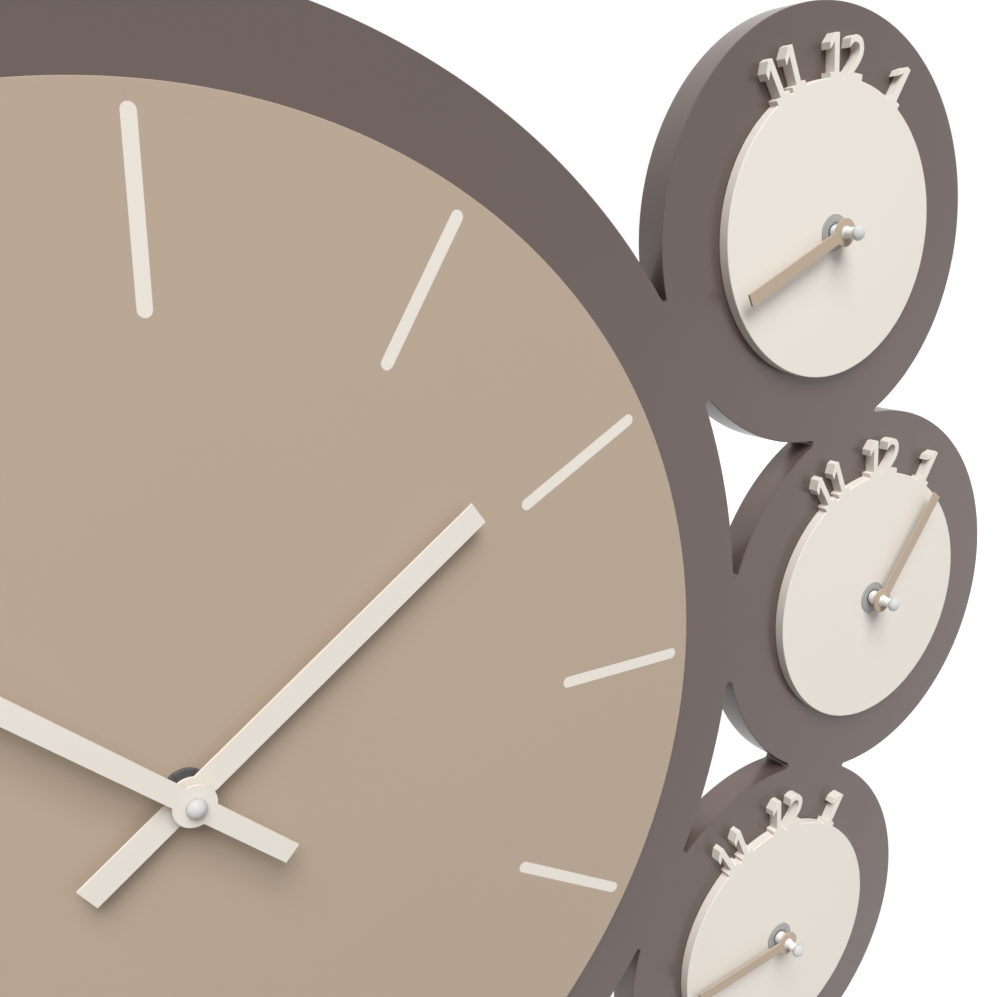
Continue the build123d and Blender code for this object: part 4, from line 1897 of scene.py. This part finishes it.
@dataclass
class Studio:
    """The white surroundings, the soft lamps and the camera."""

    lamps: tuple[Lamp, ...] = (
        Lamp("sky_lamp", (-1.75, -4.63, 6.1), 4.8, 808.0),
        Lamp("front_lamp", (1.2, -5.0, 0.5), 5.0, 52.0),
        Lamp("back_lamp", (0.25, 1.8, 1.5), 1.5, 40.0),
    )
    ambient: float = 0.16
    floor_size: float = 24.0
    floor_across: float = 0.1
    floor_tones: Pair = (0.17, 0.19)
    floor_lift: float = 0.82
    floor_fade: Pair = (0.7, 1.6)
    camera_at: Point = (-69.508, -304.270, 13.100)
    camera_forward: Point = (0.5167057, 0.8196540, -0.2473511)
    camera_near: float = 0.01
    focal_px: float = 1034.39
    centre_px: Pair = (495.5, 491.6)
    image_px: Pair = (1000.0, 997.0)
    sensor: float = 36.0

    def camera(self) -> None:
        """Set the camera where the photograph was taken from."""
        data = bpy.data.cameras.new("camera")
        data.sensor_width = self.sensor
        data.lens = self.focal_px / self.image_px[0] * self.sensor
        data.shift_x = (self.image_px[0] / 2 - self.centre_px[0]) / self.image_px[0]
        data.shift_y = (self.centre_px[1] - self.image_px[1] / 2) / self.image_px[0]
        data.clip_start = self.camera_near
        eye = bpy.data.objects.new("camera", data)
        bpy.context.scene.collection.objects.link(eye)
        eye.location = Vector(self.camera_at) * MM
        eye.rotation_euler = Vector(self.camera_forward).to_track_quat("-Z", "Y").to_euler()
        bpy.context.scene.camera = eye

    def seen(self, graph: Graph) -> Value:
        """Tell the rays that show the surroundings, seen directly, in metal or through glass.

        Args:
            graph: the nodes that ask.

        Returns:
            1 for those rays, and 0 for the others.
        """
        kinds = [f"Is {kind} Ray" for kind in ("Camera", "Glossy", "Transmission")]
        rays = [graph.add("ShaderNodeLightPath", output=kind) for kind in kinds]
        return rays[0].most(rays[1]).most(rays[2])

    def world(self) -> None:
        """Surround the clock with white, at full strength only where it is seen."""
        world = bpy.data.worlds.new("studio")
        bpy.context.scene.world = world
        graph = Graph(world)
        strength = self.seen(graph) * (1 - self.ambient) + self.ambient
        inputs = {"Color": (1.0, 1.0, 1.0, 1.0), "Strength": strength}
        white = graph.add("ShaderNodeBackground", None, inputs, "Background")
        graph.add("ShaderNodeOutputWorld", None, {"Surface": white})

    def floor(self) -> None:
        """Lay a wide white floor under the clock that keeps its shadow."""
        Bench.clear()
        spot = (self.floor_across, 0, CAD_BOX[0][2])
        bpy.ops.mesh.primitive_plane_add(size=self.floor_size, location=spot)
        ground = Bench.named("floor")
        graph = Graph.blank("floor_white")
        base = graph.tones(graph.noise(3.0), (1.0, 1.0, 1.0), self.floor_tones)
        out = graph.vector("LENGTH", graph.coords(), output="Value")
        near, far = self.floor_fade
        inputs = {"Value": out, "From Min": near, "From Max": far}
        fade = graph.add("ShaderNodeMapRange", None, inputs)
        pale = graph.blend(fade, (self.floor_lift,) * 3, (1.0, 1.0, 1.0))
        lift = graph.blend(self.seen(graph), (0.0, 0.0, 0.0), pale)
        white = graph.surface(
            Base_Color=base, Roughness=0.9, Emission_Color=lift, Emission_Strength=1.0
        )
        ground.data.materials.append(white)

    def build(self) -> None:
        """Set up the studio."""
        bpy.context.scene.view_settings.view_transform = "Standard"
        self.world()
        self.floor()
        for lamp in self.lamps:
            lamp.hang()
        self.camera()
        LOG.info("studio ready")


def build_hands() -> None:
    """Make the five hands where they point in the photograph."""
    cream = {"slot": "hand_cream", "finish": HAND_CREAM, "at": MAIN_AT, "tail": 38.4, "hub": 6.7}
    Hand(
        "hour_hand", "main_hour_hand", "main_hour", **cream,
        front=MAIN_FRONT + 6.0, points_deg=54.0, tip=123.5, width=8.6, bore=2.5,
    ).build()
    Hand(
        "minute_hand", "main_minute_hand", "main_minute", **cream,
        front=MAIN_FRONT + 11.0, points_deg=311.9, tip=176.0, width=6.7, bore=2.1,
    ).build()
    for place, points_deg in (("upper", 243.5), ("middle", 35.5), ("lower", 263.7)):
        Hand(
            f"{place}_strip", f"{place}_hand", f"{place}_hour",
            slot="hand_tan", finish=HAND_TAN, at=SMALL_AT[place],
            front=MAIN_FRONT + 5.6, points_deg=points_deg,
            tip=55.2, tail=0.0, width=5.0, hub=5.5, bore=2.5,
        ).build()


def build_hubs() -> None:
    """Make the four hubs, and one piece of their nuts."""
    hubs = [
        # The main nut takes the nut colour with the hour hand's shade painted in.
        Hub(
            "main", MAIN_AT, MAIN_FRONT, MAIN_FRONT + 11.6, ("main_hour_wheel", "main_arbor"),
            nut_finish=SHADED_NUT, nut_edge=0.4, hand_back=MAIN_FRONT + 5.1,
        )
    ]
    for place, at in SMALL_AT.items():
        metals = (f"{place}_tube", f"{place}_shaft")
        hubs.append(
            Hub(
                place, at, SMALL_FRONT, MAIN_FRONT + 10.8, metals,
                nut_finish=PALE_NUT, nut_edge=0.15, nut_thick=0.6, nut_mouth=4.2,
                nut_step=0.45, collet_radius=3.1,
            )
        )
    nuts = Bench.gather([hub.build() for hub in hubs], "ring_nuts")
    PaintShop.settle(nuts, None, "clock", "nut_steel", "fixing_nuts")


def dress_works() -> None:
    """Finish the solids inside the movements, which stay as they are."""
    works: dict[str, Finish] = {
        "main_case": BLACK,
        "main_minute_wheel": WHITE,
        "main_motor_pinion": WHITE,
        "main_motor": GREY,
        "main_coil": COPPER,
        "main_circuit": GREEN,
        "battery_contacts": ZINC,
    }
    for node, finish in works.items():
        PaintShop.dress(node, finish)


def main() -> None:
    """Build the clock piece by piece, then the studio round it."""
    Board().build()
    MainDial().build()
    for place in SMALL_AT:
        SmallDial(place).build()
    build_hands()
    build_hubs()
    Hangers().build()
    for place, at in {"main": MAIN_AT, **SMALL_AT}.items():
        Movement(place, at).build()
    dress_works()
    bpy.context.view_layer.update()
    Studio().build()


if __name__ == "__main__":
    main()
